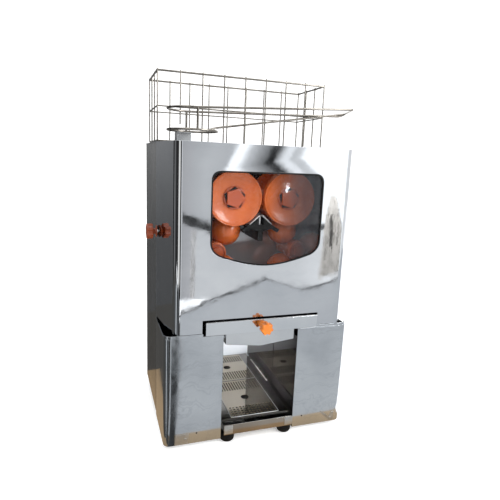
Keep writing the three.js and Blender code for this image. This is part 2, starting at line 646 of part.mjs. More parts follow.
function buildDrums() {
  const d = DRUM;
  for (const [name, side] of Object.entries(SIDES)) {
    const cupPlace = [side * d.cupAxis, 0, d.cupHeight];
    const ballPlace = [side * d.ballAxis, 0, ballHeight()];
    piece(`cup_drum_${name}`, cupDrum(), FINISH.orange, cupPlace);
    piece(`cup_cap_${name}`, cupCap(), FINISH.orange, cupPlace);
    piece(`cup_shaft_${name}`, rodY(SHAFT.radius, 0, [SHAFT.front, SHAFT.back], 0), FINISH.steel, cupPlace);
    piece(`ball_drum_${name}`, ballDrum(side), FINISH.orange, ballPlace);
    piece(`ball_cap_${name}`, hubCap(), FINISH.orange, ballPlace);
    piece(`ball_shaft_${name}`, rodY(SHAFT.radius, 0, [ballShaftFront(), SHAFT.back], 0), FINISH.steel, ballPlace);
  }
}

// Involute gear outline with a tooth centred on the given angle
function gearShape(teeth, phase) {
  const g = GEAR;
  const pitch = (g.module * teeth) / 2;
  const base = pitch * Math.cos(THREE.MathUtils.degToRad(g.pressure));
  const tip = pitch + g.module * g.addendumShare;
  const root = pitch - g.module * g.dedendumShare;
  const involute = (radius) => {
    const roll = Math.sqrt(Math.max((radius / base) ** 2 - 1, 0));
    return roll - Math.atan(roll);
  };
  const halfTooth = Math.PI / (2 * teeth) - g.backlash / (2 * pitch) + involute(pitch);
  const flank = [root, pitch, tip].map((radius) => [radius, halfTooth - involute(radius)]);
  const points = [];
  for (let tooth = 0; tooth < teeth; tooth += 1) {
    const centre = phase + (tooth / teeth) * Math.PI * 2;
    const rising = flank.map(([radius, angle]) => [radius, centre - angle]);
    const falling = [...flank].reverse().map(([radius, angle]) => [radius, centre + angle]);
    for (const [radius, angle] of [...rising, ...falling]) {
      points.push([radius * Math.cos(angle), radius * Math.sin(angle)]);
    }
  }
  return polygon(points);
}

function gearBody(teeth, phase, bore) {
  const depth = [GEAR.front, GEAR.front + GEAR.width];
  const through = [GEAR.front - OVERRUN, GEAR.front + GEAR.width + OVERRUN];
  const disc = run(gearShape(teeth, phase), depth);
  return bore ? cut(disc, rodY(bore, 0, through, 0, SMALL_ROUND_SIDES)) : disc;
}

// Phase of a gear that meshes with another across a line at the given angle
function meshedPhase(phase, line, teeth) {
  return line + Math.PI + Math.PI / teeth - (phase - line) * (GEAR.teeth / teeth);
}

function pinionPlace() {
  const angle = THREE.MathUtils.degToRad(PINION.angle);
  const reach = (GEAR.module * (GEAR.teeth + PINION.teeth)) / 2;
  return [-DRUM.ballAxis + reach * Math.cos(angle), ballHeight() + reach * Math.sin(angle)];
}

// Four equal gears turn the drums together and the motor's pinion drives the lower left one
function buildGears() {
  const d = DRUM;
  const phases = { cupLeft: 0 };
  phases.cupRight = meshedPhase(phases.cupLeft, 0, GEAR.teeth);
  phases.ballLeft = meshedPhase(phases.cupLeft, lineAngle(), GEAR.teeth);
  phases.ballRight = meshedPhase(phases.cupRight, Math.PI - lineAngle(), GEAR.teeth);
  const places = {
    cupLeft: ["cup_gear_left", -d.cupAxis, d.cupHeight], cupRight: ["cup_gear_right", d.cupAxis, d.cupHeight],
    ballLeft: ["ball_gear_left", -d.ballAxis, ballHeight()], ballRight: ["ball_gear_right", d.ballAxis, ballHeight()],
  };
  for (const [key, [name, x, z]] of Object.entries(places)) {
    piece(name, gearBody(GEAR.teeth, phases[key], GEAR.bore), FINISH.cast, [x, 0, z]);
  }
  const [x, z] = pinionPlace();
  const line = THREE.MathUtils.degToRad(PINION.angle);
  const teeth = gearBody(PINION.teeth, meshedPhase(phases.ballLeft, line, PINION.teeth), null);
  const stem = rodY(PINION.shaft, 0, [GEAR.front + GEAR.width / 2, PINION.back], 0);
  piece("drive_pinion", join(teeth, stem), FINISH.steel, [x, 0, z]);
}

// Wall between the squeezing room and the gears, with lugs for the side screws
function buildBearingWall() {
  const w = WALL;
  const depth = [w.front, w.front + w.sheet];
  const sheet = block([-w.halfWidth, w.halfWidth], depth, [w.low, CASING.top - TOP_PLATE.sheet - SEAT_GAP]);
  const tongue = block([-w.tongueHalf, w.tongueHalf], depth, [w.tongueLow, w.low + w.sheet]);
  const lugs = Object.values(SIDES).map((side) =>
    block(sideRange(side, w.halfWidth - w.sheet, w.halfWidth), [w.lugFront, w.front + w.sheet], [w.lugLow, w.lugHigh]));
  const screwHoles = Object.values(SIDES).map((side) =>
    rodX(SIDE_KNOB.screw + SEAT_GAP, sideRange(side, w.halfWidth - w.sheet - OVERRUN, w.halfWidth + OVERRUN),
      SIDE_KNOB.depth, SIDE_KNOB.height, SMALL_ROUND_SIDES));
  const through = [w.front - OVERRUN, w.front + w.sheet + OVERRUN];
  const seats = bearingPlaces().map(([, x, z]) => rodY(BEARING.boss + SEAT_GAP, x, through, z));
  piece("bearing_wall", cut(join(sheet, tongue, lugs), screwHoles, seats), FINISH.mirror);
}

function bearingPlaces() {
  const d = DRUM;
  return [
    ["cup_bearing_left", -d.cupAxis, d.cupHeight], ["cup_bearing_right", d.cupAxis, d.cupHeight],
    ["ball_bearing_left", -d.ballAxis, ballHeight()], ["ball_bearing_right", d.ballAxis, ballHeight()],
  ];
}

function buildBearings() {
  const b = BEARING;
  const back = WALL.front + WALL.sheet + SEAT_GAP;
  for (const [name, x, z] of bearingPlaces()) {
    const flange = rodY(b.flange, 0, [back, back + b.flangeDepth], 0);
    const boss = rodY(b.boss, 0, [WALL.front - b.noseDepth, back + b.bossDepth], 0);
    const bore = rodY(SHAFT.radius + SHAFT.running, 0, [WALL.front - b.noseDepth - OVERRUN, back + b.bossDepth + OVERRUN], 0);
    piece(name, cut(join(flange, boss), bore), FINISH.cast, [x, 0, z]);
  }
}

// Rear plate of the gear room on four welded posts
function buildGearPlate() {
  const g = GEAR_PLATE;
  const sheet = block([-g.halfWidth, g.halfWidth], [g.front, g.front + g.sheet], [g.low, g.high]);
  const posts = [];
  for (const side of Object.values(SIDES)) {
    for (const z of [g.low + g.post * 2, g.high - g.post * 2]) {
      posts.push(rodY(g.post, side * g.postX, [WALL.front + WALL.sheet + SEAT_GAP, g.front + g.sheet / 2], z,
        SMALL_ROUND_SIDES));
    }
  }
  const through = [g.front - OVERRUN, g.front + g.sheet + OVERRUN];
  const holes = bearingPlaces().map(([, x, z]) => rodY(SHAFT.radius + SHAFT.running, x, through, z));
  const [x, z] = pinionPlace();
  holes.push(rodY(GEARBOX.hole, x, through, z));
  piece("gear_plate", cut(join(sheet, posts), holes), FINISH.steel);
}

// Gearbox behind the gear plate and the motor that lies across it
function buildDrive() {
  const [x, z] = pinionPlace();
  const front = GEAR_PLATE.front + GEAR_PLATE.sheet + SEAT_GAP;
  const box = block([x - GEARBOX.halfWidth, x + GEARBOX.halfWidth], [front, front + GEARBOX.depth],
    [z - GEARBOX.halfHeight, z + GEARBOX.halfHeight]);
  const socket = rodY(PINION.shaft + SHAFT.running, x, [front - OVERRUN, PINION.back + SEAT_GAP], z);
  piece("drive_gearbox", cut(box, socket), FINISH.cast);
  const start = x + GEARBOX.halfWidth + SEAT_GAP;
  const middle = front + GEARBOX.depth / 2;
  const can = rodX(MOTOR.radius * FOOT.seatShare, [start, start + MOTOR.length], middle, z);
  const shell = rodX(MOTOR.radius, [start + MOTOR.endCap, start + MOTOR.length - MOTOR.endCap], middle, z);
  piece("drive_motor", join(can, shell), FINISH.motor);
}

// Knife on the middle line, its edge up
function buildKnife() {
  const k = KNIFE;
  const blade = polygon([
    [-k.half, k.low], [k.half, k.low], [k.half, k.top - k.bevel], [0, k.top], [-k.half, k.top - k.bevel],
  ]);
  piece("knife_blade", run(blade, [k.front, k.back]), FINISH.steel);
}

// Holder of the knife with the two arms that throw the peel aside
function buildKnifeHolder() {
  const h = HOLDER;
  const post = block([-h.half, h.half], [h.front, h.back], [h.low, h.high]);
  const arms = [];
  for (const side of Object.values(SIDES)) {
    const a = ARM;
    const wedge = polygon([
      [0, h.high - h.half], [side * h.half, h.high], [side * a.topX, a.topZ], [side * a.kneeX, a.kneeZ],
      [side * a.heelX, a.heelZ], [side * h.half, a.rootZ], [0, a.rootZ],
    ]);
    const finger = polygon([
      [side * a.topX, a.heelZ], [side * a.kneeX, a.kneeZ], [side * a.tipX, a.tipZ], [side * a.toeX, a.toeZ],
      [side * a.heelX, a.heelZ],
    ]);
    arms.push(run(wedge, [h.front, a.back]));
    arms.push(run(finger, [h.front, h.front + a.fingerDepth]));
    arms.push(run(finger, [DRUM.midDepth * 2 - h.front - a.fingerDepth, a.back]));
  }
  const slot = block([-KNIFE.half - h.slot, KNIFE.half + h.slot], [KNIFE.front - SEAT_GAP, KNIFE.back + SEAT_GAP],
    [KNIFE.low - SEAT_GAP, h.high + OVERRUN * 3]);
  piece("knife_holder", cut(join(post, arms), slot), FINISH.black);
}

// Two thin sheets that part the orange halves on both sides of the knife
function buildDeflectors() {
  const f = DEFLECTOR;
  for (const [name, side] of Object.entries(SIDES)) {
    const sheet = polygon([
      [side * f.topX, f.topZ], [side * f.lowX, f.lowZ], [side * f.lowX, f.lowZ - f.sheet],
      [side * f.topX, f.topZ - f.sheet * 2],
    ]);
    piece(`deflector_${name}`, run(sheet, [HOLDER.front, ARM.back]), FINISH.steel);
  }
}

// Hopper under the ball drums that leads the juice to the drawer
function buildCollector() {
  const c = COLLECTOR;
  const section = (inset, lift) => polygon([
    [-c.topHalf + inset, c.top + lift], [-c.lowHalf + inset, c.low - lift],
    [c.lowHalf - inset, c.low - lift], [c.topHalf - inset, c.top + lift],
  ]);
  const shell = run(section(0, 0), [c.front, c.back]);
  const hollow = run(section(c.sheet, OVERRUN), [c.front + c.sheet, c.back - c.sheet]);
  piece("juice_collector", cut(shell, hollow), FINISH.steel);
}

// Drawer that strains the pulp, its front plate and its star knob
function buildDrawer() {
  const d = DRAWER;
  const tray = block([d.shift - d.half, d.shift + d.half], [d.front, d.back], [d.floor, d.top]);
  const inner = d.half - d.sheet;
  const hollow = block([d.shift - inner, d.shift + inner], [d.front + d.sheet, d.back - d.sheet],
    [d.floor + d.sheet, d.top + OVERRUN]);
  const holes = [];
  for (let row = 0; row < d.holeRows; row += 1) {
    for (let column = 0; column < d.holes; column += 1) {
      const x = d.shift + (column - (d.holes - 1) / 2) * (inner * 2 / (d.holes + 1));
      const y = d.front + ((row + 1) / (d.holeRows + 1)) * (d.back - d.front);
      holes.push(block([x - d.hole / 2, x + d.hole / 2], [y - d.hole / 2, y + d.hole / 2],
        [d.floor - OVERRUN, d.floor + d.sheet + OVERRUN]));
    }
  }
  piece("pulp_drawer", cut(tray, hollow, holes), FINISH.steel);
  const f = DRAWER_FRONT;
  const plate = block([d.shift - f.half, d.shift + f.half], [f.front, f.front + f.sheet], [f.low, f.high]);
  const lip = block([d.shift - f.lipHalf, d.shift + f.lipHalf],
    [f.front + f.sheet / 2, d.front - SEAT_GAP], [d.floor + d.sheet * 2, d.top]);
  piece("drawer_front", join(plate, lip), FINISH.mirror);
  const star = starKnobBody(STAR.radius, STAR.points, STAR.depth, STAR.neck, STAR.neckDepth);
  piece("drawer_knob", star, FINISH.brightOrange, [0, f.front - SEAT_GAP, DRAWER_KNOB_HEIGHT]);
}

// Two angle runners under the drawer, joined by a bar on the bearing wall
function buildRunners() {
  const r = RUNNER;
  const d = DRAWER;
  const depth = [r.front, WALL.front - SEAT_GAP];
  const floor = d.floor - SEAT_GAP;
  const outer = d.half + SEAT_GAP + r.sheet;
  const parts = [];
  for (const side of Object.values(SIDES)) {
    const web = sideRange(side, outer - r.sheet, outer).map((x) => x + d.shift);
    const ledge = sideRange(side, outer - r.flange, outer).map((x) => x + d.shift);
    parts.push(block(web, depth, [floor - r.sheet, floor + r.web]));
    parts.push(block(ledge, depth, [floor - r.sheet, floor]));
  }
  parts.push(block([d.shift - outer, d.shift + outer], [depth[1] - r.sheet, depth[1]],
    [floor - r.sheet, floor + r.cross]));
  piece("drawer_runners", join(parts), FINISH.steel);
}

// Juice tank with a V-shaped floor and a spout over the front plate's round hole
function buildTank() {
  const t = TANK;
  const section = (inset, lift) => polygon([
    [-t.half + inset, t.top + lift], [-t.half + inset, t.shoulder + inset], [0, t.apex + inset],
    [t.half - inset, t.shoulder + inset], [t.half - inset, t.top + lift],
  ]);
  const shell = run(section(0, 0), [t.front, t.back]);
  const hollow = run(section(t.sheet, OVERRUN), [t.front + t.sheet, t.back - t.sheet]);
  const spout = rodZ(t.spoutRadius, 0, t.spoutY, [t.spoutLow, t.apex + t.sheet], SMALL_ROUND_SIDES);
  const bore = rodZ(t.spoutBore, 0, t.spoutY, [t.spoutLow - OVERRUN, t.apex + t.sheet + OVERRUN], SMALL_ROUND_SIDES);
  piece("juice_tank", cut(join(shell, spout), hollow, bore), FINISH.mirror);
}

// Wire basket: a floor grid and four walls of two tiers, with one short wire at the front
function buildBasket() {
  const b = BASKET;
  const x = (column) => b.left + (column * (b.right - b.left)) / b.cellsX;
  const y = (row) => b.front + (row * b.depth) / b.cellsY;
  const floor = CASING.top + SEAT_GAP + b.wire;
  const z = (tier) => floor + tier * b.tier;
  const back = y(b.cellsY);
  const top = z(b.tiers) + b.proud;
  const sides = WIRE_SIDES - 2;
  const wires = [];
  for (let tier = 0; tier <= b.tiers; tier += 1) {
    const radius = tier === b.tiers ? b.rim : b.wire;
    for (const depth of [b.front, back]) {
      wires.push(wireBetween([b.left - radius, depth, z(tier)], [b.right + radius, depth, z(tier)], radius, sides));
    }
    for (const across of [b.left, b.right]) {
      wires.push(wireBetween([across, b.front - radius, z(tier)], [across, back + radius, z(tier)], radius, sides));
    }
  }
  for (let column = 0; column <= b.cellsX; column += 1) {
    const foot = column === 1 ? z(1) - b.stub : floor;
    wires.push(wireBetween([x(column), b.front, foot], [x(column), b.front, top], b.wire, sides));
    wires.push(wireBetween([x(column), back, floor], [x(column), back, top], b.wire, sides));
    const inside = column > 0 && column < b.cellsX && column % 2 === 0;
    if (inside) wires.push(wireBetween([x(column), b.front, floor], [x(column), back, floor], b.wire, sides));
  }
  for (let row = 1; row < b.cellsY; row += 1) {
    for (const across of [b.left, b.right]) {
      wires.push(wireBetween([across, y(row), floor], [across, y(row), top], b.wire, sides));
    }
    wires.push(wireBetween([b.left, y(row), floor], [b.right, y(row), floor], b.wire, sides));
  }
  piece("wire_basket", join(wires), FINISH.wire);
}

// Feed guide: a long loop over a ring, two posts and a sloping brace
function buildGuide() {
  const g = GUIDE;
  const near = g.ringY - g.ringRadius;
  const far = g.ringY + g.ringRadius;
  const onRing = (angle, height) => new THREE.Vector3(g.ringX + g.ringRadius * Math.cos(angle),
    g.ringY + g.ringRadius * Math.sin(angle), height);
  const arc = [];
  for (let step = 0; step <= g.arcSteps; step += 1) {
    arc.push(onRing(-Math.PI / 2 - (step / g.arcSteps) * Math.PI, g.high));
  }
  const start = [g.nearEnd, near, g.nearRise];
  const bend = [g.farEnd, far, g.crest];
  const tip = [g.tipX, far, g.tipRise];
  const past = g.ringX - g.wire;
  const turnIn = onRing(Math.PI / 3, g.low).toArray();
  const brace = [g.braceX, far, g.braceHeight];
  const wires = [
    wireAlong(new THREE.CatmullRomCurve3(arc), g.wire, g.arcSteps),
    wireBetween([past, near, g.high], start, g.wire), wireBetween([past, far, g.high], bend, g.wire),
    wireBetween(bend, tip, g.wire), wireBetween(tip, start, g.wire),
    wireBetween([g.ringX - g.postLean, far, g.low], [g.ringX - g.postLean, far, g.high], g.wire),
    wireBetween([g.ringX, near, g.low], [g.ringX, near, g.high + g.wire], g.wire),
    wireBetween(turnIn, brace, g.wire), wireBetween(brace, tip, g.wire),
    solid(new THREE.TorusGeometry(g.ringRadius, g.wire, WIRE_SIDES, ROUND_SIDES).translate(g.ringX, g.ringY, g.low)),
  ];
  const knuckles = [start, bend, tip, brace].map((place) => knuckle(place, g.wire));
  piece("feed_guide", join(wires, knuckles), FINISH.wire);
}

// Small ball that fills the corner between two wires
function knuckle([x, y, z], radius) {
  return solid(new THREE.SphereGeometry(radius, WIRE_SIDES, WIRE_SIDES - 1).translate(x, y, z));
}

// Bracket on the top plate that carries the ring of the guide
function buildBracket() {
  const b = BRACKET;
  const low = CASING.top + SEAT_GAP;
  const high = GUIDE.low - GUIDE.wire - SEAT_GAP;
  const body = block([b.left, b.left + b.width], [b.front, b.front + b.depth], [low, high]);
  const level = high - b.groove * 2;
  const groove = block([b.left - OVERRUN, b.left + b.width + OVERRUN], [b.front - OVERRUN, b.front + b.grooveDepth],
    [level, level + b.groove]);
  piece("guide_bracket", cut(body, groove), FINISH.satin);
}

// Power switch and cable inlet on the back
function buildElectrics() {
  const s = SWITCH;
  const r = ROCKER;
  const face = CASING.back + SEAT_GAP;
  const bezel = block([-s.halfWidth, s.halfWidth], [face, face + s.proud], [-s.halfHeight, s.halfHeight]);
  const neck = block([-s.halfWidth + s.bezel, s.halfWidth - s.bezel], [face - s.body, face + s.proud / 2],
    [-s.halfHeight + s.bezel, s.halfHeight - s.bezel]);
  const pocketRadius = Math.hypot(r.halfHeight, r.depth / 2) + SEAT_GAP * 2;
  const pocket = block([-r.halfWidth - SEAT_GAP * 2, r.halfWidth + SEAT_GAP * 2],
    [face + s.proud - pocketRadius, face + s.proud + OVERRUN], [-r.halfHeight - SEAT_GAP * 2, r.halfHeight + SEAT_GAP * 2]);
  piece("switch_housing", cut(join(bezel, neck), pocket), FINISH.black, [s.x, 0, s.height]);
  const front = face + s.proud;
  const rocker = new THREE.Shape();
  rocker.moveTo(front - r.depth + r.crown, -r.halfHeight + r.crown);
  rocker.lineTo(front + r.crown / 2, -r.halfHeight + r.crown);
  rocker.quadraticCurveTo(front - r.crown / 2, 0, front + r.crown / 2, r.halfHeight - r.crown);
  rocker.lineTo(front - r.depth + r.crown, r.halfHeight - r.crown);
  rocker.closePath();
  const turn = new THREE.Matrix4().makeBasis(new THREE.Vector3(0, 1, 0), new THREE.Vector3(0, 0, 1),
    new THREE.Vector3(1, 0, 0));
  const settings = { depth: r.halfWidth * 2, bevelEnabled: false, curveSegments: 4 };
  const key = new THREE.ExtrudeGeometry(rocker, settings).applyMatrix4(turn).translate(-r.halfWidth, 0, 0);
  piece("power_rocker", solid(key), FINISH.rubber, [s.x, 0, s.height]);
  const g = GLAND;
  const nut = rodY(g.radius, 0, [face, face + g.proud / 2], 0, 6);
  const nose = rodY(g.thread, 0, [face - g.inside, face + g.proud], 0, SMALL_ROUND_SIDES);
  const bore = rodY(g.bore, 0, [face - g.inside - OVERRUN, face + g.proud + OVERRUN], 0, SMALL_ROUND_SIDES);
  piece("cable_gland", cut(join(nut, nose), bore), FINISH.black, [g.x, 0, g.height]);
}

// The machine stands with the middle of its footprint over the origin
function centre() {
  const box = new THREE.Box3().setFromObject(machine);
  const middle = box.getCenter(new THREE.Vector3());
  machine.position.set(-middle.x, -middle.y, -box.min.z);
}

buildCasing();
buildBackPanel();
buildTopPlate();
buildFrontCover();
buildWindow();
buildSideKnobs();
buildBase();
buildFeet();
buildBayLining();
buildDripPan();
buildPerforatedPlates();
buildBins();
buildDrums();
buildGears();
buildBearingWall();
buildBearings();
buildGearPlate();
buildDrive();
buildKnife();
buildKnifeHolder();
buildDeflectors();
buildCollector();
buildDrawer();
buildRunners();
buildTank();
buildBasket();
buildGuide();
buildBracket();
buildElectrics();
centre();

export default machine;
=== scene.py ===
import json
import logging
import math
from dataclasses import dataclass
from enum import Enum
from typing import Callable, Optional, Sequence, Union

import bmesh
import bpy
from mathutils import Matrix, Vector

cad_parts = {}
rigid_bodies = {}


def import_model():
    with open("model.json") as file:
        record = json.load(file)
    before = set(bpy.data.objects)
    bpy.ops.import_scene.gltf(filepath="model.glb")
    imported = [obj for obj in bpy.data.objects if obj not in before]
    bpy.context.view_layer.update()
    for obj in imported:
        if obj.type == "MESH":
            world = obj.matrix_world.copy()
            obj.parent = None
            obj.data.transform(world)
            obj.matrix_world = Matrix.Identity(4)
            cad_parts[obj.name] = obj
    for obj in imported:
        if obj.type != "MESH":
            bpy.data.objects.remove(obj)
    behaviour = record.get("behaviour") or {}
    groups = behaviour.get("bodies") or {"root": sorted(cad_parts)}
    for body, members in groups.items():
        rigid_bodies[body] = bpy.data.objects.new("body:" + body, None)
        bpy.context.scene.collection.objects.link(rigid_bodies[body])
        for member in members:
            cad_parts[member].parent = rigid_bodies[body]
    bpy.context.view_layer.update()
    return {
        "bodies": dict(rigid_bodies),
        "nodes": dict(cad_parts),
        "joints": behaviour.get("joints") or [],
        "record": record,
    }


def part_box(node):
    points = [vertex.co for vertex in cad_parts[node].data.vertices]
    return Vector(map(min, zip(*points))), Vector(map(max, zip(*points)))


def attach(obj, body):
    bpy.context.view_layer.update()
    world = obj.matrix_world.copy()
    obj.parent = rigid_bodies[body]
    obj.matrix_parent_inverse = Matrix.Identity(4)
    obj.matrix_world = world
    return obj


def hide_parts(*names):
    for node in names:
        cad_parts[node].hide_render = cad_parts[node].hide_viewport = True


# The object's sizes are in millimetres: x to the right, y back from the front of the cover and z
# up from the counter. The studio's sizes and the depths of surface textures are in metres.
MM = 0.001
# How far the frame's origin lies behind the front of the cover.
FRONT_OFFSET = 154.8
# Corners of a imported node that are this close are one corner.
WELD = 0.004
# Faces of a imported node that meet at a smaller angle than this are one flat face.
FLAT_DEGREES = 0.4
# Edges of at least this angle are sharp, unless a piece says otherwise.
SHARP_DEGREES = 32.0
# A face looks along an axis where its normal reaches at least this far along it.
FACING = 0.9
LOG = logging.getLogger("juicer")

Colour = tuple[float, float, float, float]
Point = tuple[float, float, float]
Flat = tuple[float, float]
Socket = bpy.types.NodeSocket


class Axis(Enum):
    """Direction that a turned or extruded shape follows."""

    X = 0
    Y = 1
    Z = 2


class Side(Enum):
    """Left or right half of the machine, as seen by a person in front of it."""

    LEFT = -1
    RIGHT = 1

    @property
    def label(self) -> str:
        """Name of the side in piece names."""
        return self.name.lower()


class Slot(Enum):
    """Material slots of the record."""

    MIRROR = "mirror"
    SATIN = "satin"
    WIRE = "wire"
    ORANGE = "orange"
    BRIGHT_ORANGE = "bright_orange"
    BLACK = "black"
    RUBBER = "rubber"
    ACRYLIC = "acrylic"
    STEEL = "steel"
    CAST = "cast"
    MOTOR = "motor"


class Space(Enum):
    """Coordinates that a pattern follows."""

    OBJECT = "Object"
    BOX = "Generated"


class Blend(Enum):
    """Way of mixing two patterned colours."""

    MIX = "MIX"
    MULTIPLY = "MULTIPLY"


class Shader(Enum):
    """Shader that ends a material's tree."""

    SURFACE = "ShaderNodeBsdfPrincipled"
    GLOW = "ShaderNodeEmission"


def linear(value: float) -> float:
    """Turn a channel from 0 to 255, as seen on a screen, into its linear value from 0 to 1."""
    share = value / 255
    return share / 12.92 if share <= 0.04045 else ((share + 0.055) / 1.055) ** 2.4


def srgb(red: float, green: float, blue: float) -> Colour:
    """Turn a colour as seen on a screen into the linear values that shaders take.

    Args:
        red: Red from 0 to 255.
        green: Green from 0 to 255.
        blue: Blue from 0 to 255.

    Returns:
        Linear red, green and blue with an alpha of 1.
    """
    return (linear(red), linear(green), linear(blue), 1.0)


def measured(place: Vector) -> Vector:
    """Turn a place in the frame's metres into the object's millimetres."""
    return place / MM + Vector((0.0, FRONT_OFFSET, 0.0))


@dataclass(frozen=True)
class Clouds:
    """A cloudy pattern.

    Attributes:
        scale: Number of clouds per metre.
        detail: How much finer structure is added.
        stretch: Uneven scale along x, y and z.
        distortion: How far the pattern is swirled.
    """

    scale: float
    detail: float = 3.0
    stretch: Point = (1.0, 1.0, 1.0)
    distortion: float = 0.0


class Graph:
    """A material's node tree while it is being built."""

    def __init__(self, name: str, space: Space = Space.OBJECT) -> None:
        """Start an empty tree.

        Args:
            name: Name of the new material.
            space: Coordinates that its patterns follow.
        """
        self.material = bpy.data.materials.new(name)
        self.material.use_nodes = True
        self.tree = self.material.node_tree
        self.tree.nodes.clear()
        self.output = self.tree.nodes.new("ShaderNodeOutputMaterial")
        self.coordinates = self.tree.nodes.new("ShaderNodeTexCoord").outputs[space.value]

    def node(self, kind: str, inputs: dict, **settings: object) -> bpy.types.Node:
        """Add a node, set its options, and set or link its inputs.

        Args:
            kind: The node's type name.
            inputs: Values or sockets by input name or number.
            settings: Options set on the node itself.

        Returns:
            The new node.
        """
        made = self.tree.nodes.new(kind)
        for name, value in settings.items():
            setattr(made, name, value)
        for name, value in inputs.items():
            if isinstance(value, Socket):
                self.tree.links.new(value, made.inputs[name])
            else:
                made.inputs[name].default_value = value
        return made

    def noise(self, clouds: Clouds) -> Socket:
        """Add a cloudy pattern.

        Args:
            clouds: What the pattern is like.

        Returns:
            The pattern's value from 0 to 1.
        """
        mapping = self.node("ShaderNodeMapping",
                            {"Vector": self.coordinates, "Scale": clouds.stretch})
        return self.node("ShaderNodeTexNoise", {
            "Vector": mapping.outputs["Vector"], "Scale": clouds.scale, "Detail": clouds.detail,
            "Distortion": clouds.distortion,
        }).outputs[0]

    def arcs(self, scale: float, distortion: float = 9.0, detail: float = 3.0,
             detail_scale: float = 1.3) -> Socket:
        """Add the curved marks of a polishing wheel.

        Args:
            scale: Number of marks per metre.
            distortion: How far the marks stray from rings.
            detail: How much finer structure is added.
            detail_scale: Scale of that structure.

        Returns:
            The marks' value from 0 to 1.
        """
        return self.node("ShaderNodeTexWave", {
            "Vector": self.coordinates, "Scale": scale, "Distortion": distortion,
            "Detail": detail, "Detail Scale": detail_scale,
        }, wave_type="RINGS").outputs["Fac"]

    def cells(self, scale: float) -> Socket:
        """Add a pattern of small cells, with as many per metre as the scale says."""
        inputs = {"Vector": self.coordinates, "Scale": scale}
        return self.node("ShaderNodeTexVoronoi", inputs).outputs["Distance"]

    def along(self, axis: Axis) -> Socket:
        """Read the place along an axis."""
        parts = self.node("ShaderNodeSeparateXYZ", {"Vector": self.coordinates})
        return parts.outputs[axis.value]

    def between(self, value: Socket, low: float, high: float, start: float = 0.3,
                end: float = 0.7) -> Socket:
        """Spread a pattern's value over a range.

        Args:
            value: The pattern.
            low: Result where the pattern is at start or under it.
            high: Result where the pattern is at end or over it.
            start: Lower bound of the pattern's used range.
            end: Upper bound of the pattern's used range.

        Returns:
            The value in its new range.
        """
        return self.node("ShaderNodeMapRange", {
            "Value": value, "From Min": start, "From Max": end, "To Min": low, "To Max": high,
        }).outputs["Result"]

    def ramp(self, factor: Socket, stops: Sequence[tuple[float, Colour]]) -> Socket:
        """Colour a pattern.

        Args:
            factor: The pattern's value.
            stops: Places from 0 to 1 with their colours.

        Returns:
            The colour.
        """
        made = self.node("ShaderNodeValToRGB", {"Fac": factor})
        elements = made.color_ramp.elements
        elements.remove(elements[-1])
        elements[0].position, elements[0].color = stops[0]
        for place, colour in stops[1:]:
            elements.new(place).color = colour
        return made.outputs["Color"]

    def toned(self, clouds: Clouds, dark: Colour, light: Colour, start: float = 0.3,
              end: float = 0.7) -> Socket:
        """Colour a cloudy pattern from a darker to a lighter tone.

        Args:
            clouds: What the pattern is like.
            dark: The darker tone.
            light: The lighter tone.
            start: Value of the pattern up to which the tone is dark.
            end: Value of the pattern from which the tone is light.

        Returns:
            The colour.
        """
        return self.ramp(self.noise(clouds), [(start, dark), (end, light)])

    def mixed(self, factor: Union[Socket, float], first: Socket, second: Socket,
              blend: Blend = Blend.MIX) -> Socket:
        """Mix two patterned colours.

        Args:
            factor: 0 for the first colour and 1 for the full mix with the second.
            first: The first colour.
            second: The second colour.
            blend: The way of mixing.

        Returns:
            The mixed colour.
        """
        made = self.node("ShaderNodeMix", {0: factor, 6: first, 7: second}, data_type="RGBA",
                         blend_type=blend.value)
        return made.outputs[2]

    def bump(self, pattern: Socket, depth: float, strength: float = 1.0,
             under: Optional[Socket] = None) -> Socket:
        """Raise the surface by a pattern.

        Args:
            pattern: The height pattern.
            depth: Height in metres of the pattern's full range.
            strength: Share of the effect.
            under: A bumped normal that this one adds to.

        Returns:
            The bumped normal.
        """
        inputs = {"Height": pattern, "Distance": depth, "Strength": strength}
        if under is not None:
            inputs["Normal"] = under
        return self.node("ShaderNodeBump", inputs).outputs["Normal"]

    def finished(self, shader: Shader, inputs: dict) -> bpy.types.Material:
        """End the tree with a shader.

        Args:
            shader: The shader.
            inputs: Values or sockets by input name.

        Returns:
            The finished material.
        """
        last = self.node(shader.value, inputs)
        self.tree.links.new(last.outputs[0], self.output.inputs["Surface"])
        return self.material


@dataclass(frozen=True)
class Finish:
    """A surface finish that builds its material once.

    Attributes:
        name: Name of the material.
        slot: Slot of the record that the finish belongs to; not used.
    """

    name: str
    slot: Slot

    def material(self) -> bpy.types.Material:
        """Give the finish's material, which is built on first use."""
        return bpy.data.materials.get(self.name) or self.build(Graph(self.name))

    def build(self, graph: Graph) -> bpy.types.Material:
        """Build the material.

        Args:
            graph: An empty tree.

        Returns:
            The finished material.
        """
        raise NotImplementedError


@dataclass(frozen=True)
class Toned(Finish):
    """A finish whose tone and polish vary in clouds.

    Attributes:
        light: Lighter tone.
        dark: Darker tone.
        polish: Lowest and highest roughness.
    """

    light: Colour
    dark: Colour
    polish: Flat


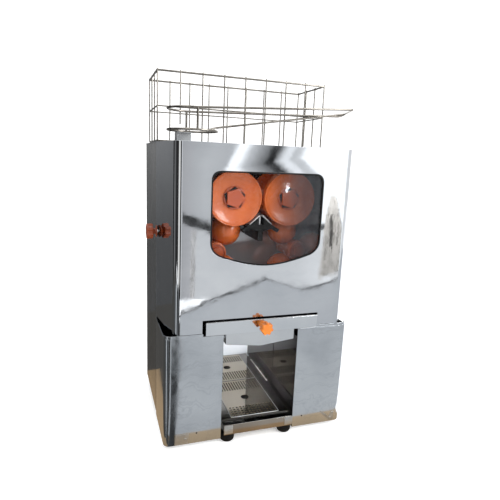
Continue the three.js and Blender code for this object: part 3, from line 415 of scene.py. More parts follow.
@dataclass(frozen=True)
class SheetSteel(Toned):
    """Stainless sheet: tone, polish, waviness of the sheet and polishing marks.

    Attributes:
        wave: Depth in metres of the sheet's waviness.
        waves: Pattern of the waviness.
        grain: Depth in metres of the brushed lines.
        lines: Pattern of the brushed lines.
        swirl: Depth in metres of the curved polishing marks.
        marks: Share by which the polishing marks change the tone.
        metallic: Share of bare metal.
        shade_heights: Heights in metres where a painted shade over the upper part starts and is
            full.
        shade: Tones of that painted shade, the darker one first.
        shade_clouds: Pattern of those tones.
        clouds: Pattern of the steel's tones.
        tones: Values of that pattern where the tone starts to lighten and is lightest.
        smudges: Pattern of the roughness.
        arcs: Polishing marks per metre.
        worn: Places across a polishing mark where its dark edge starts and is full.
        worn_clouds: Pattern of where the marks show.
    """

    wave: float
    waves: Clouds = Clouds(9.0, 1.5)
    grain: float = 0.0
    lines: Clouds = Clouds(1.0, 2.0, (900.0, 900.0, 12.0))
    swirl: float = 0.0
    marks: float = 0.0
    metallic: float = 1.0
    shade_heights: Optional[Flat] = None
    shade: tuple[Colour, Colour] = (srgb(34, 24, 24), srgb(52, 40, 40))
    shade_clouds: Clouds = Clouds(12.0)
    clouds: Clouds = Clouds(7.0, 4.0)
    tones: Flat = (0.35, 0.65)
    smudges: Clouds = Clouds(26.0, 6.0, distortion=1.4)
    arcs: float = 16.0
    worn: Flat = (0.7, 0.9)
    worn_clouds: Clouds = Clouds(9.0)

    def build(self, graph: Graph) -> bpy.types.Material:
        """Build the steel.

        Args:
            graph: An empty tree.

        Returns:
            The finished material.
        """
        tone = graph.toned(self.clouds, self.dark, self.light, *self.tones)
        polish = graph.between(graph.noise(self.smudges), *self.polish)
        normal = graph.bump(graph.noise(self.waves), self.wave)
        if self.grain > 0:
            normal = graph.bump(graph.noise(self.lines), self.grain, under=normal)
        if self.swirl > 0:
            arcs = graph.arcs(self.arcs)
            normal = graph.bump(arcs, self.swirl, under=normal)
            edge_from, edge_full = self.worn
            worn = graph.ramp(arcs, [(0.0, self.light), (edge_from, self.light),
                                     (edge_full, self.dark), (1.0, self.light)])
            share = graph.between(graph.noise(self.worn_clouds), 0.0, self.marks)
            tone = graph.mixed(share, tone, worn)
        # Painted shade: above shade_heights the tone turns to the dark shade tones.
        if self.shade_heights:
            share = graph.between(graph.along(Axis.Z), 0.0, 1.0, *self.shade_heights)
            tone = graph.mixed(share, tone, graph.toned(self.shade_clouds, *self.shade))
        return graph.finished(Shader.SURFACE, {
            "Base Color": tone, "Metallic": self.metallic, "Roughness": polish,
            "Normal": normal,
        })


@dataclass(frozen=True)
class Moulded(Toned):
    """Moulded plastic or rubber with slight flow marks and a fine skin.

    Attributes:
        coat: Strength of the clear gloss.
        skin: Depth in metres of the moulded skin.
        specular: Level of the reflection.
        coat_polish: Roughness of the clear gloss.
        flow: Pattern of the tones.
        smudges: Pattern of the roughness.
        cells: Cells of the skin per metre.
        skin_share: Strength of the skin.
        dents: Pattern of the soft dents.
        dent: Depth in metres of the soft dents.
        dent_share: Strength of the soft dents.
    """

    coat: float
    skin: float = 0.00004
    specular: float = 0.5
    coat_polish: float = 0.08
    flow: Clouds = Clouds(18.0, 5.0)
    smudges: Clouds = Clouds(60.0, 5.0)
    cells: float = 1400.0
    skin_share: float = 0.6
    dents: Clouds = Clouds(24.0, 2.0)
    dent: float = 0.0004
    dent_share: float = 0.5

    def build(self, graph: Graph) -> bpy.types.Material:
        """Build the plastic.

        Args:
            graph: An empty tree.

        Returns:
            The finished material.
        """
        tone = graph.toned(self.flow, self.dark, self.light)
        polish = graph.between(graph.noise(self.smudges), *self.polish)
        normal = graph.bump(graph.cells(self.cells), self.skin, self.skin_share)
        normal = graph.bump(graph.noise(self.dents), self.dent, self.dent_share, normal)
        return graph.finished(Shader.SURFACE, {
            "Base Color": tone, "Roughness": polish, "Normal": normal,
            "Coat Weight": self.coat, "Coat Roughness": self.coat_polish,
            "Specular IOR Level": self.specular,
        })


@dataclass(frozen=True)
class Acrylic(Finish):
    """Tinted clear plastic with faint wiping marks and a painted dark reflection that makes the
    pane less clear towards its right side.

    Attributes:
        tint: Colour of the tint.
        deeper: Brightness of its deepest spots as a share of the tint's.
        opaque: Alpha of the painted dark reflection at the pane's clear side and at its dark
            side.
        fade: Where across the pane the painted reflection starts and ends, in metres.
        clouds: Pattern of the tint.
        wiped: Pattern of the wiping marks.
        streaks: Factors on the painted reflection's alpha between the wiping marks and in them.
        waves: Pattern of the pane's waviness.
        wave: Depth in metres of the waviness.
        polish: Lowest and highest roughness.
        bending: Index of refraction.
        specular: Level of the reflection.
    """

    tint: Colour = srgb(58, 60, 64)
    deeper: float = 0.6
    opaque: Flat = (0.05, 0.42)
    fade: Flat = (0.0, 0.085)
    clouds: Clouds = Clouds(9.0)
    wiped: Clouds = Clouds(1.0, 3.0, (40.0, 14.0, 5.0), 0.8)
    streaks: Flat = (0.75, 1.2)
    waves: Clouds = Clouds(7.0, 1.0)
    wave: float = 0.0004
    polish: Flat = (0.02, 0.06)
    bending: float = 1.49
    specular: float = 0.6

    def build(self, graph: Graph) -> bpy.types.Material:
        """Build the clear plastic.

        Args:
            graph: An empty tree.

        Returns:
            The finished material.
        """
        deep = tuple(value * self.deeper for value in self.tint[:3]) + (1.0,)
        tone = graph.toned(self.clouds, deep, self.tint)
        wiped = graph.noise(self.wiped)
        # Painted reflection: the pane's alpha rises across x, so its right side shows a dark
        # reflection painted into the tint.
        painted_reflection = graph.between(graph.along(Axis.X), *self.opaque, *self.fade)
        streaks = graph.between(wiped, *self.streaks)
        wiped_reflection_alpha = graph.node("ShaderNodeMath", {0: painted_reflection, 1: streaks}, operation="MULTIPLY")
        return graph.finished(Shader.SURFACE, {
            "Base Color": tone, "Roughness": graph.between(wiped, *self.polish),
            "Normal": graph.bump(graph.noise(self.waves), self.wave), "IOR": self.bending,
            "Specular IOR Level": self.specular, "Alpha": wiped_reflection_alpha.outputs[0],
        })


@dataclass(frozen=True)
class Metal(Toned):
    """Turned, cast or painted metal.

    Attributes:
        metallic: Share of bare metal.
        pit: Depth in metres of the surface texture.
        pits: Pattern of the surface texture.
        clouds: Pattern of the tones.
        smudges: Pattern of the roughness.
    """

    metallic: float = 1.0
    pit: float = 0.00005
    pits: Clouds = Clouds(500.0, 2.0)
    clouds: Clouds = Clouds(40.0, 4.0)
    smudges: Clouds = Clouds(90.0, 4.0)

    def build(self, graph: Graph) -> bpy.types.Material:
        """Build the metal.

        Args:
            graph: An empty tree.

        Returns:
            The finished material.
        """
        tone = graph.toned(self.clouds, self.dark, self.light)
        polish = graph.between(graph.noise(self.smudges), *self.polish)
        normal = graph.bump(graph.noise(self.pits), self.pit)
        return graph.finished(Shader.SURFACE, {
            "Base Color": tone, "Roughness": polish, "Normal": normal,
            "Metallic": self.metallic,
        })


class Finishes:
    """All finishes of the machine."""

    COVER = SheetSteel(
        "cover_mirror", Slot.MIRROR, srgb(214, 217, 221), srgb(200, 204, 209), (0.03, 0.08),
        0.0005, Clouds(5.0, 1.5), swirl=0.00001, marks=0.3)
    BIN = SheetSteel(
        "bin_polish", Slot.MIRROR, srgb(212, 216, 220), srgb(184, 189, 194), (0.08, 0.16),
        0.0004, swirl=0.00002, marks=0.4)
    DRAWER = SheetSteel(
        "drawer_polish", Slot.MIRROR, srgb(226, 229, 232), srgb(212, 216, 220), (0.05, 0.1),
        0.0005)
    CASING = SheetSteel(
        "casing_satin", Slot.SATIN, srgb(182, 182, 180), srgb(158, 158, 156), (0.14, 0.22),
        0.0006, grain=0.00004)
    # Painted reflection: the back wall of the cup bay is painted near white and barely metallic,
    # standing in for the bright room that the steel mirrors.
    BACK = SheetSteel(
        "bay_back_satin", Slot.SATIN, srgb(238, 243, 250), srgb(226, 232, 240), (0.1, 0.2),
        0.0001, metallic=0.15)
    TOP = SheetSteel(
        "top_satin", Slot.SATIN, srgb(196, 198, 200), srgb(172, 174, 176), (0.18, 0.28),
        0.0006, grain=0.00004, lines=Clouds(1.0, 2.0, (12.0, 900.0, 900.0)))
    # Painted shade: the polished steel of the bay lining is painted dark brown, standing in for
    # the dark reflections inside the cup bay.
    BAY = SheetSteel(
        "bay_polish", Slot.MIRROR, srgb(40, 32, 27), srgb(29, 23, 19), (0.04, 0.1),
        0.0004, Clouds(5.0, 1.5))
    PAN = SheetSteel(
        "pan_polish", Slot.SATIN, srgb(158, 153, 147), srgb(134, 129, 123), (0.06, 0.14),
        0.0002)
    PLATE = SheetSteel(
        "plate_polish", Slot.SATIN, srgb(250, 238, 218), srgb(236, 222, 200), (0.03, 0.07),
        0.00006)
    RAIL = SheetSteel(
        "rail_polish", Slot.SATIN, srgb(200, 200, 198), srgb(172, 170, 166), (0.1, 0.2),
        0.0006)
    TANK = SheetSteel(
        "tank_polish", Slot.SATIN, srgb(226, 228, 230), srgb(210, 213, 216), (0.08, 0.16),
        0.0006)
    INNER = SheetSteel(
        "inner_steel", Slot.STEEL, srgb(64, 62, 70), srgb(48, 46, 54), (0.3, 0.46),
        0.0006, grain=0.00003, metallic=0.35)
    # Painted shade: the bearing wall is painted dark above 0.475 m, standing in for the dark
    # reflection of the parts over it.
    WALL = SheetSteel(
        "wall_polish", Slot.MIRROR, srgb(226, 229, 233), srgb(206, 209, 214), (0.08, 0.16),
        0.0003, metallic=0.5, shade_heights=(0.475, 0.5))
    # Painted reflection: the cross tube's steel is painted warm tan-grey, standing in for the
    # warm floor that it mirrors.
    CROSS = SheetSteel(
        "cross_tube_polish", Slot.SATIN, srgb(180, 170, 158), srgb(156, 146, 134),
        (0.1, 0.2), 0.0005)
    BRIGHT = Metal(
        "bright_steel", Slot.STEEL, srgb(236, 237, 238), srgb(216, 218, 220), (0.15, 0.3),
        0.3)
    PATCH = Metal(
        "patch_steel", Slot.STEEL, srgb(194, 194, 192), srgb(166, 165, 162), (0.26, 0.36),
        0.95, 0.000006, Clouds(120.0, 2.0))
    WIRE = Metal(
        "wire_steel", Slot.WIRE, srgb(158, 154, 147), srgb(120, 116, 110), (0.16, 0.3),
        pit=0.00002)
    GUIDE = Metal(
        "guide_steel", Slot.WIRE, srgb(156, 151, 144), srgb(114, 110, 104), (0.1, 0.22),
        pit=0.00002)
    SHADE = Metal(
        "pan_shade", Slot.SATIN, srgb(32, 30, 30), srgb(20, 19, 19), (0.3, 0.45), 0.3)
    TURNED = Metal(
        "turned_steel", Slot.STEEL, srgb(205, 207, 208), srgb(172, 174, 176), (0.14, 0.26))
    CAST = Metal(
        "cast_metal", Slot.CAST, srgb(128, 133, 137), srgb(98, 103, 107), (0.45, 0.62),
        0.8, 0.0003, Clouds(260.0, 2.0))
    MOTOR = Metal(
        "motor_paint", Slot.MOTOR, srgb(62, 66, 70), srgb(44, 48, 52), (0.35, 0.5),
        0.1, 0.0001, Clouds(400.0, 2.0))
    ORANGE = Moulded(
        "drum_orange", Slot.ORANGE, srgb(210, 106, 47), srgb(194, 90, 38), (0.2, 0.32), 0.3)
    # Painted shade: the caps' orange is a darker copy of the drums' orange, standing in for the
    # shade on them.
    CAP = Moulded(
        "cap_orange", Slot.ORANGE, srgb(186, 88, 46), srgb(168, 72, 36), (0.14, 0.26), 0.4)
    # Painted shade: the side knobs' orange is darkened to the shaded brown-orange that they show
    # at the machine's side.
    SIDE = Moulded(
        "side_knob_orange", Slot.ORANGE, srgb(150, 64, 24), srgb(128, 52, 17), (0.25, 0.4),
        0.2)
    KNOB = Moulded(
        "knob_orange", Slot.BRIGHT_ORANGE, srgb(204, 114, 26), srgb(188, 98, 20),
        (0.24, 0.38), 0.15)
    BLACK = Moulded(
        "black_plastic", Slot.BLACK, srgb(20, 19, 20), srgb(12, 12, 13), (0.4, 0.55), 0.0,
        specular=0.25)
    RUBBER = Moulded(
        "black_rubber", Slot.RUBBER, srgb(14, 14, 14), srgb(7, 7, 7), (0.55, 0.75), 0.0,
        0.00012, 0.15)
    PANE = Acrylic("window_acrylic", Slot.ACRYLIC)


def lifted(flat: Flat, along: float, axis: Axis) -> Point:
    """Place a point of a flat outline in space.

    Args:
        flat: The outline's two coordinates, in the order of the other two axes.
        along: Place along the axis.
        axis: Direction across the outline.

    Returns:
        The point.
    """
    place = list(flat)
    place.insert(axis.value, along)
    return tuple(place)


def rectangle(low: Flat, high: Flat) -> tuple[Flat, ...]:
    """List a rectangle's corners, anticlockwise, from its lowest and highest corner."""
    return (low, (high[0], low[1]), high, (low[0], high[1]))


def circle(radius: float, sides: int, start: float = 0.0,
           centre: Flat = (0.0, 0.0)) -> list[Flat]:
    """List the corners of a regular outline.

    Args:
        radius: Distance of the corners from the middle.
        sides: Number of corners.
        start: Angle of the first corner in radians.
        centre: The middle.

    Returns:
        The corners, anticlockwise.
    """
    angles = [start + step * math.tau / sides for step in range(sides)]
    return [(centre[0] + radius * math.cos(angle), centre[1] + radius * math.sin(angle))
            for angle in angles]


def lobed(radius: float, lobes: int, valley_share: float, start: float = 0.0,
          steps: int = 16, flatness: float = 2.0) -> list[Flat]:
    """List the points of a star outline with soft lobes.

    Args:
        radius: Reach of the lobes.
        lobes: Number of lobes.
        valley_share: Reach of the valleys as a share of the radius.
        start: Angle of the first lobe in radians.
        steps: Points per lobe.
        flatness: How flat the tops of the lobes are.

    Returns:
        The points, anticlockwise.
    """
    outline = []
    for step in range(lobes * steps):
        turn = step / (lobes * steps)
        crest = math.tanh(flatness * math.cos(turn * lobes * math.tau)) / math.tanh(flatness)
        reach = radius * (valley_share + (1 - valley_share) * (0.5 + 0.5 * crest))
        angle = start + turn * math.tau
        outline.append((reach * math.cos(angle), reach * math.sin(angle)))
    return outline


def rounded_path(corners: Sequence[Point], radius: float, steps: int,
                 closed: bool = False) -> list[Point]:
    """Round the corners of a path.

    Args:
        corners: The path's corner points.
        radius: How far before and after a corner the bend starts and ends.
        steps: Steps of each bend.
        closed: Whether the path returns to its start.

    Returns:
        The points of the rounded path.
    """
    places = [Vector(corner) for corner in corners]
    count = len(places)
    path: list[Point] = []
    for index, place in enumerate(places):
        if not closed and index in (0, count - 1):
            path.append(tuple(place))
            continue
        before, after = places[index - 1], places[(index + 1) % count]
        reach = min(radius, (before - place).length / 2, (after - place).length / 2)
        start = place + (before - place).normalized() * reach
        end = place + (after - place).normalized() * reach
        for step in range(steps + 1):
            share = step / steps
            bend = start * (1 - share) ** 2 + place * 2 * share * (1 - share) + end * share ** 2
            path.append(tuple(bend))
    return path


def placed(name: str, mesh: bmesh.types.BMesh, material: bpy.types.Material,
           smooth: bool = False) -> bpy.types.Object:
    """Turn a finished mesh into an object of the scene.

    Args:
        name: Name of the object.
        mesh: The mesh, which is used up.
        material: The object's material.
        smooth: Whether its faces are shaded smoothly.

    Returns:
        The object.
    """
    data = bpy.data.meshes.new(name)
    mesh.to_mesh(data)
    mesh.free()
    for polygon in data.polygons:
        polygon.use_smooth = smooth
    data.materials.append(material)
    made = bpy.data.objects.new(name, data)
    bpy.context.collection.objects.link(made)
    return made


def soften(made: bpy.types.Object, width: float, segments: int, angle: float,
           hardened: bool = True) -> None:
    """Round the sharp edges of a piece.

    Args:
        made: The piece.
        width: Width of the rounding in millimetres.
        segments: Faces across it.
        angle: Angle in degrees from which an edge is rounded.
        hardened: Whether the flat faces beside it keep their flat shading.
    """
    modifier = made.modifiers.new("edges", "BEVEL")
    modifier.width = width * MM
    modifier.segments = segments
    modifier.limit_method = "ANGLE"
    modifier.angle_limit = math.radians(angle)
    modifier.harden_normals = hardened


@dataclass(frozen=True)
class Wire:
    """Round wire.

    Attributes:
        radius: Its radius.
        sides: Sides of its section.
    """

    radius: float
    sides: int = 12


class Sculpture:
    """Closed shapes gathered into one mesh, in millimetres until it becomes a piece."""

    def __init__(self, name: str) -> None:
        """Start an empty mesh.

        Args:
            name: Name of the piece.
        """
        self.name = name
        self.mesh = bmesh.new()

    def _loft(self, rings: Sequence[Sequence[Point]], closed: bool = False) -> "Sculpture":
        """Join rings of equal count with quads and close both ends.

        Args:
            rings: Rings of points.
            closed: Whether the last ring joins the first one.

        Returns:
            This sculpture.
        """
        made = [[self.mesh.verts.new(point) for point in ring] for ring in rings]
        pairs = list(zip(made, made[1:])) + ([(made[-1], made[0])] if closed else [])
        for low, high in pairs:
            for index in range(len(low)):
                following = (index + 1) % len(low)
                self.mesh.faces.new((low[index], low[following], high[following], high[index]))
        if not closed:
            self.mesh.faces.new(list(reversed(made[0])))
            self.mesh.faces.new(made[-1])
        return self

    def prism(self, outline: Sequence[Flat], axis: Axis, low: float, high: float,
              centre: Flat = (0.0, 0.0), rounding: float = 0.0, steps: int = 4) -> "Sculpture":
        """Add an extruded outline whose rims can be rounded.

        Args:
            outline: Points around the shape's middle.
            axis: Direction of the extrusion.
            low: Where it starts.
            high: Where it ends.
            centre: Where the outline's middle lies.
            rounding: Radius of the rounded rims.
            steps: Steps of each rounded rim.

        Returns:
            This sculpture.
        """
        reach = max(math.hypot(*point) for point in outline)
        stations = [(low, 0.0), (high, 0.0)]
        if rounding > 0:
            turns = [math.pi / 2 * step / steps for step in range(steps, -1, -1)]
            first = [(low + rounding * (1 - math.sin(turn)), rounding * (1 - math.cos(turn)))
                     for turn in turns]
            last = [(high - (along - low), inset) for along, inset in reversed(first)]
            stations = first + last
        rings = []
        for along, inset in stations:
            share = (reach - inset) / reach
            rings.append([lifted((centre[0] + x * share, centre[1] + y * share), along, axis)
                          for x, y in outline])
        return self._loft(rings)

    def lathe(self, profile: Sequence[Flat], axis: Axis, centre: Flat,
              sides: int) -> "Sculpture":
        """Add a turned shape.

        Args:
            profile: Radius and place along the axis, in order. A radius of 0 closes the shape
                on the axis.
            axis: The axis it is turned about.
            centre: Where the axis lies, in the other two coordinates.
            sides: Steps round the axis.

        Returns:
            This sculpture.
        """
        rows: list[list[bmesh.types.BMVert]] = []
        for radius, along in profile:
            count = 1 if radius == 0 else sides
            ring = circle(radius, sides, 0.0, centre)[:count]
            rows.append([self.mesh.verts.new(lifted(point, along, axis)) for point in ring])
        closed = profile[0][0] > 0 and profile[-1][0] > 0
        pairs = list(zip(rows, rows[1:])) + ([(rows[-1], rows[0])] if closed else [])
        for low, high in pairs:
            for index in range(sides):
                following = (index + 1) % sides
                corners = [low[index % len(low)], low[following % len(low)],
                           high[following % len(high)], high[index % len(high)]]
                unique = list(dict.fromkeys(corners))
                if len(unique) > 2:
                    self.mesh.faces.new(unique)
        return self

    def tube(self, path: Sequence[Point], wire: Wire, closed: bool = False) -> "Sculpture":
        """Add a round wire along a path.

        Args:
            path: Points that the wire follows.
            wire: The wire.
            closed: Whether the wire returns to its start.

        Returns:
            This sculpture.
        """
        upright = 0.9
        places = [Vector(point) for point in path]
        count = len(places)
        rings = []
        across: Optional[Vector] = None
        for index, place in enumerate(places):
            if closed:
                ahead = places[(index + 1) % count] - places[index - 1]
            else:
                ahead = places[min(index + 1, count - 1)] - places[max(index - 1, 0)]
            ahead.normalize()
            if across is None:
                guide = Vector((0, 0, 1)) if abs(ahead.z) < upright else Vector((1, 0, 0))
                across = ahead.cross(guide).normalized()
            else:
                across = (across - ahead * across.dot(ahead)).normalized()
            up = ahead.cross(across)
            turns = [step * math.tau / wire.sides for step in range(wire.sides)]
            rings.append([
                tuple(place + (across * math.cos(turn) + up * math.sin(turn)) * wire.radius)
                for turn in turns])
        return self._loft(rings, closed)

    def pierced(self, outline: Sequence[Flat], holes: Sequence[Sequence[Flat]], low: float,
                high: float, rim: float) -> "Sculpture":
        """Add a level sheet with holes and softened rims.

        Args:
            outline: The sheet's outline in x and y.
            holes: Outlines of the holes.
            low: Height of the underside.
            high: Height of the top.
            rim: Radius of the softened rims.

        Returns:
            This sculpture.
        """
        merge = 0.001
        curve = bpy.data.curves.new(f"{self.name}_outline", "CURVE")
        curve.dimensions = "2D"
        curve.fill_mode = "BOTH"
        curve.extrude = (high - low) / 2 - rim
        curve.bevel_depth = rim
        curve.bevel_resolution = 1
        curve.offset = -rim
        for loop in (outline, *holes):
            spline = curve.splines.new("POLY")
            spline.points.add(len(loop) - 1)
            for point, (x, y) in zip(spline.points, loop):
                point.co = (x, y, 0.0, 1.0)
            spline.use_cyclic_u = True
        holder = bpy.data.objects.new(f"{self.name}_outline", curve)
        bpy.context.collection.objects.link(holder)
        evaluated = holder.evaluated_get(bpy.context.evaluated_depsgraph_get())
        sheet = bpy.data.meshes.new_from_object(evaluated)
        sheet.transform(Matrix.Translation((0, 0, (low + high) / 2)))
        self.mesh.from_mesh(sheet)
        bpy.data.objects.remove(holder)
        bpy.data.meshes.remove(sheet)
        bpy.data.curves.remove(curve)
        bmesh.ops.remove_doubles(self.mesh, verts=self.mesh.verts, dist=merge)
        return self

    def shell_of(self, node: bpy.types.Object) -> "Sculpture":
        """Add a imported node's surface with its corners joined and its flat faces whole.

        Args:
            node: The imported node.

        Returns:
            This sculpture.
        """
        part = node.data.copy()
        to_object = Matrix.Translation((0, FRONT_OFFSET * MM, 0))
        part.transform(Matrix.Scale(1 / MM, 4) @ to_object)
        before = set(self.mesh.verts)
        self.mesh.from_mesh(part)
        bpy.data.meshes.remove(part)
        added = [vertex for vertex in self.mesh.verts if vertex not in before]
        bmesh.ops.remove_doubles(self.mesh, verts=added, dist=WELD)
        bmesh.ops.dissolve_limit(self.mesh, angle_limit=math.radians(FLAT_DEGREES),
                                 verts=list(self.mesh.verts), edges=list(self.mesh.edges))
        return self

    def piece(self, body: str, finish: Finish, replaces: Sequence[str] = (),
              bevel: float = 0.0, segments: int = 2,
              sharp: float = SHARP_DEGREES) -> bpy.types.Object:
        """Turn the mesh into a finished piece.

        Args:
            body: Body of the frame that it moves with.
            finish: Its surface finish.
            replaces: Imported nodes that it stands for.
            bevel: Width of softened edges in millimetres.
            segments: Faces across a softened edge.
            sharp: Angle in degrees from which an edge counts as sharp.

        Returns:
            The piece.
        """
        bmesh.ops.recalc_face_normals(self.mesh, faces=self.mesh.faces)
        to_frame = Matrix.Scale(MM, 4) @ Matrix.Translation((0, -FRONT_OFFSET, 0))
        bmesh.ops.transform(self.mesh, verts=self.mesh.verts, matrix=to_frame)
        made = placed(self.name, self.mesh, finish.material(), True)
        made.data.set_sharp_from_angle(angle=math.radians(sharp))
        if bevel > 0:
            soften(made, bevel, segments, sharp)
        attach(made, body)
        if replaces:
            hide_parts(*replaces)
        LOG.info("piece %s rides on %s, %d faces", self.name, body, len(made.data.polygons))
        return made


@dataclass(frozen=True)
class Assembly:
    """A group of pieces that are built and dressed together.

    Attributes:
        frame: The loaded frame.
    """

    frame: dict

    @staticmethod
    def span(node: str) -> tuple[Vector, Vector]:
        """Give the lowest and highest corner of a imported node's box in millimetres."""
        low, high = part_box(node)
        return measured(low), measured(high)

    def shell(self, node: str, ending: str, body: str, finish: Finish, bevel: float = 0.4,
              segments: int = 2) -> bpy.types.Object:
        """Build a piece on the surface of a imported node.

        Args:
            node: Name of the node it stands for.
            ending: What the piece's name adds to the node's.
            body: Body it moves with.
            finish: Its surface finish.
            bevel: Width of its softened edges in millimetres.
            segments: Faces across a softened edge.

        Returns:
            The piece.
        """
        shape = Sculpture(f"{node}_{ending}").shell_of(self.frame["nodes"][node])
        return shape.piece(body, finish, [node], bevel, segments)

    def keep(self, node: str, finish: Finish, bevel: float = 0.3) -> None:
        """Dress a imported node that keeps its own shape.

        Args:
            node: Name of the node.
            finish: Its surface finish.
            bevel: Width of its softened edges in millimetres.
        """
        made = self.frame["nodes"][node]
        made.data.materials.clear()
        made.data.materials.append(finish.material())
        made.modifiers.new("weld", "WELD").merge_threshold = WELD * MM
        flat = made.modifiers.new("flat", "DECIMATE")
        flat.decimate_type = "DISSOLVE"
        flat.angle_limit = math.radians(FLAT_DEGREES)
        soften(made, bevel, 2, SHARP_DEGREES, False)
        LOG.info("node %s keeps its shape in %s", node, finish.name)

    @staticmethod
    def repaint(made: bpy.types.Object, finish: Finish,
                chosen: Callable[[Vector, Vector], bool]) -> None:
        """Give some faces of a piece another finish.

        Args:
            made: The piece.
            finish: The other finish.
            chosen: Says from a face's middle in millimetres and its normal whether it is
                meant.
        """
        made.data.materials.append(finish.material())
        index = len(made.data.materials) - 1
        for polygon in made.data.polygons:
            if chosen(measured(polygon.center), polygon.normal):
                polygon.material_index = index

    def build(self) -> None:
        """Build and dress the assembly."""
        raise NotImplementedError


@dataclass(frozen=True)
class Casing(Assembly):
    """Rear casing, top plate and vented back panel.

    Attributes:
        bay_back_from: Place along y from which a forward face is the back of the cup bay, which
            gets a near-white painted reflection of the bright room.
        inset: Distance of the back panel's screws from its edges.
        head: Radius of a screw head.
        proud: How far a head stands off.
        head_profile: Shares of the radius and of the standing-off along a head's surface.
        head_sides: Sides of a head.
    """

    bay_back_from: float = 320.0
    inset: float = 7.0
    head: float = 4.2
    proud: float = 2.2
    head_profile: tuple[Flat, ...] = (
        (0.0, 0.0), (1.0, 0.0), (1.0, 0.35), (0.82, 0.85), (0.5, 1.0), (0.36, 0.98),
        (0.32, 0.45), (0.0, 0.45))
    head_sides: int = 20

    def screws(self) -> None:
        """Build the low button-head screws of the back panel."""
        low, high = self.span("back_panel")
        profile = [(self.head * share, high.y + self.proud * rise)
                   for share, rise in self.head_profile]
        shape = Sculpture("back_panel_screws")
        for across in (low.x + self.inset, high.x - self.inset):
            for height in (low.z + self.inset, (low.z + high.z) / 2, high.z - self.inset):
                shape.lathe(profile, Axis.Y, (across, height), self.head_sides)
        shape.piece("machine", Finishes.TURNED)

    def build(self) -> None:
        """Build and dress the casing."""
        casing = self.shell("rear_casing", "shell", "machine", Finishes.CASING, 0.5)
        # Painted reflection: the back of the cup bay gets the near-white painted light.
        self.repaint(casing, Finishes.BACK, lambda middle, normal:
                     normal.y < -FACING and middle.y > self.bay_back_from)
        self.shell("top_plate", "sheet", "machine", Finishes.TOP)
        self.shell("back_panel", "sheet", "machine", Finishes.CASING)
        self.screws()


@dataclass(frozen=True)
class Cover(Assembly):
    """Polished front cover with its window."""

    def build(self) -> None:
        """Build and dress the cover."""
        self.shell("front_cover", "sheet", "cover", Finishes.COVER, 0.45, 3)
        self.shell("window_gasket", "strip", "cover", Finishes.BLACK)
        self.shell("window_pane", "sheet", "cover", Finishes.PANE, 0.3)


@dataclass(frozen=True)
class StarKnob:
    """A star grip on a neck.

    Attributes:
        radius: Reach of the lobes.
        lobes: Number of lobes.
        valley_share: Reach of the valleys as a share of the radius.
        depth: Length of the grip.
        rounding: Radius of the grip's rims.
        neck: Radius of the neck.
        collar: Radius of the neck's collar as a share of the neck's radius.
        collar_ends: Shares of the neck's length where the collar starts to narrow and ends.
        root: How deep the neck reaches into the grip, as a share of the grip's length.
        sides: Sides of the neck.
    """

    radius: float
    lobes: int
    valley_share: float
    depth: float
    rounding: float
    neck: float
    collar: float = 1.15
    collar_ends: Flat = (0.25, 0.4)
    root: float = 0.4
    sides: int = 40

    def add(self, shape: Sculpture, axis: Axis, centre: Flat, seat: float, outward: float,
            length: float, start: float) -> None:
        """Add the knob to a sculpture.

        Args:
            shape: The sculpture.
            axis: Direction of the neck.
            centre: Where the axis lies.
            seat: Where the neck starts.
            outward: Sign of the outward direction.
            length: Length of the neck up to the grip.
            start: Angle of the first lobe.
        """
        grip = seat + outward * length
        tip = grip + outward * self.depth
        outline = lobed(self.radius, self.lobes, self.valley_share, start)
        shape.prism(outline, axis, min(grip, tip), max(grip, tip), centre, self.rounding, 5)
        root = grip + outward * self.depth * self.root
        collar = self.neck * self.collar
        narrows, ends = (seat + outward * length * share for share in self.collar_ends)
        shape.lathe([(0.0, seat), (collar, seat), (collar, narrows), (self.neck, ends),
                     (self.neck, root), (0.0, root)], axis, centre, self.sides)


@dataclass(frozen=True)
class SideKnobs(Assembly):
    """Two star knobs with washers that clamp the cover.

    Attributes:
        knob: The grip.
        centre: Where the knobs' axis lies in y and z.
        seat: Distance of the cover's side from the middle.
        washer: Radius of the washer.
        washer_depth: Thickness of the washer.
        washer_chamfer: Width of the washer's chamfers.
        neck_length: Distance from the cover to the grip.
        screw: Radius of the screw.
        screw_length: How far the screw reaches in.
        screw_chamfer: Width of the chamfer at the screw's end.
    """

    knob: StarKnob = StarKnob(radius=16.0, lobes=6, valley_share=0.8, depth=14.0,
                              rounding=2.6, neck=6.0)
    centre: Flat = (115.0, 447.0)
    seat: float = 206.3
    washer: float = 13.0
    washer_depth: float = 1.4
    washer_chamfer: float = 0.4
    neck_length: float = 7.7
    screw: float = 4.0
    screw_length: float = 16.0
    screw_chamfer: float = 0.8

    def grip(self, side: Side) -> None:
        """Build a knob with its washer.

        Args:
            side: Left or right.
        """
        body, sign = f"side_knob_{side.label}", side.value
        seat, outer = sign * self.seat, sign * (self.seat + self.washer_depth)
        shape = Sculpture(f"{body}_grip")
        length = self.neck_length - self.washer_depth
        self.knob.add(shape, Axis.X, self.centre, outer, sign, length, math.pi / 6)
        radius, chamfer = self.washer, self.washer_chamfer
        shape.lathe([(0.0, seat), (radius - chamfer, seat), (radius, seat + sign * chamfer),
                     (radius, outer - sign * chamfer), (radius - chamfer, outer),
                     (0.0, outer)], Axis.X, self.centre, 48)
        # The grip and its washer get the darkened orange of painted shade.
        shape.piece(body, Finishes.SIDE, [body], sharp=50)

    def thread(self, side: Side) -> None:
        """Build the end of a knob's screw inside the cover.

        Args:
            side: Left or right.
        """
        body, sign = f"side_knob_{side.label}", side.value
        seat, inner = sign * self.seat, sign * (self.seat - self.screw_length)
        radius, chamfer = self.screw, self.screw_chamfer
        shape = Sculpture(f"{body}_screw")
        shape.lathe([(0.0, inner), (radius - chamfer, inner), (radius, inner + sign * chamfer),
                     (radius, seat), (0.0, seat)], Axis.X, self.centre, 24)
        shape.piece(body, Finishes.TURNED)

    def build(self) -> None:
        """Build and dress both knobs."""
        for side in Side:
            self.grip(side)
            self.thread(side)


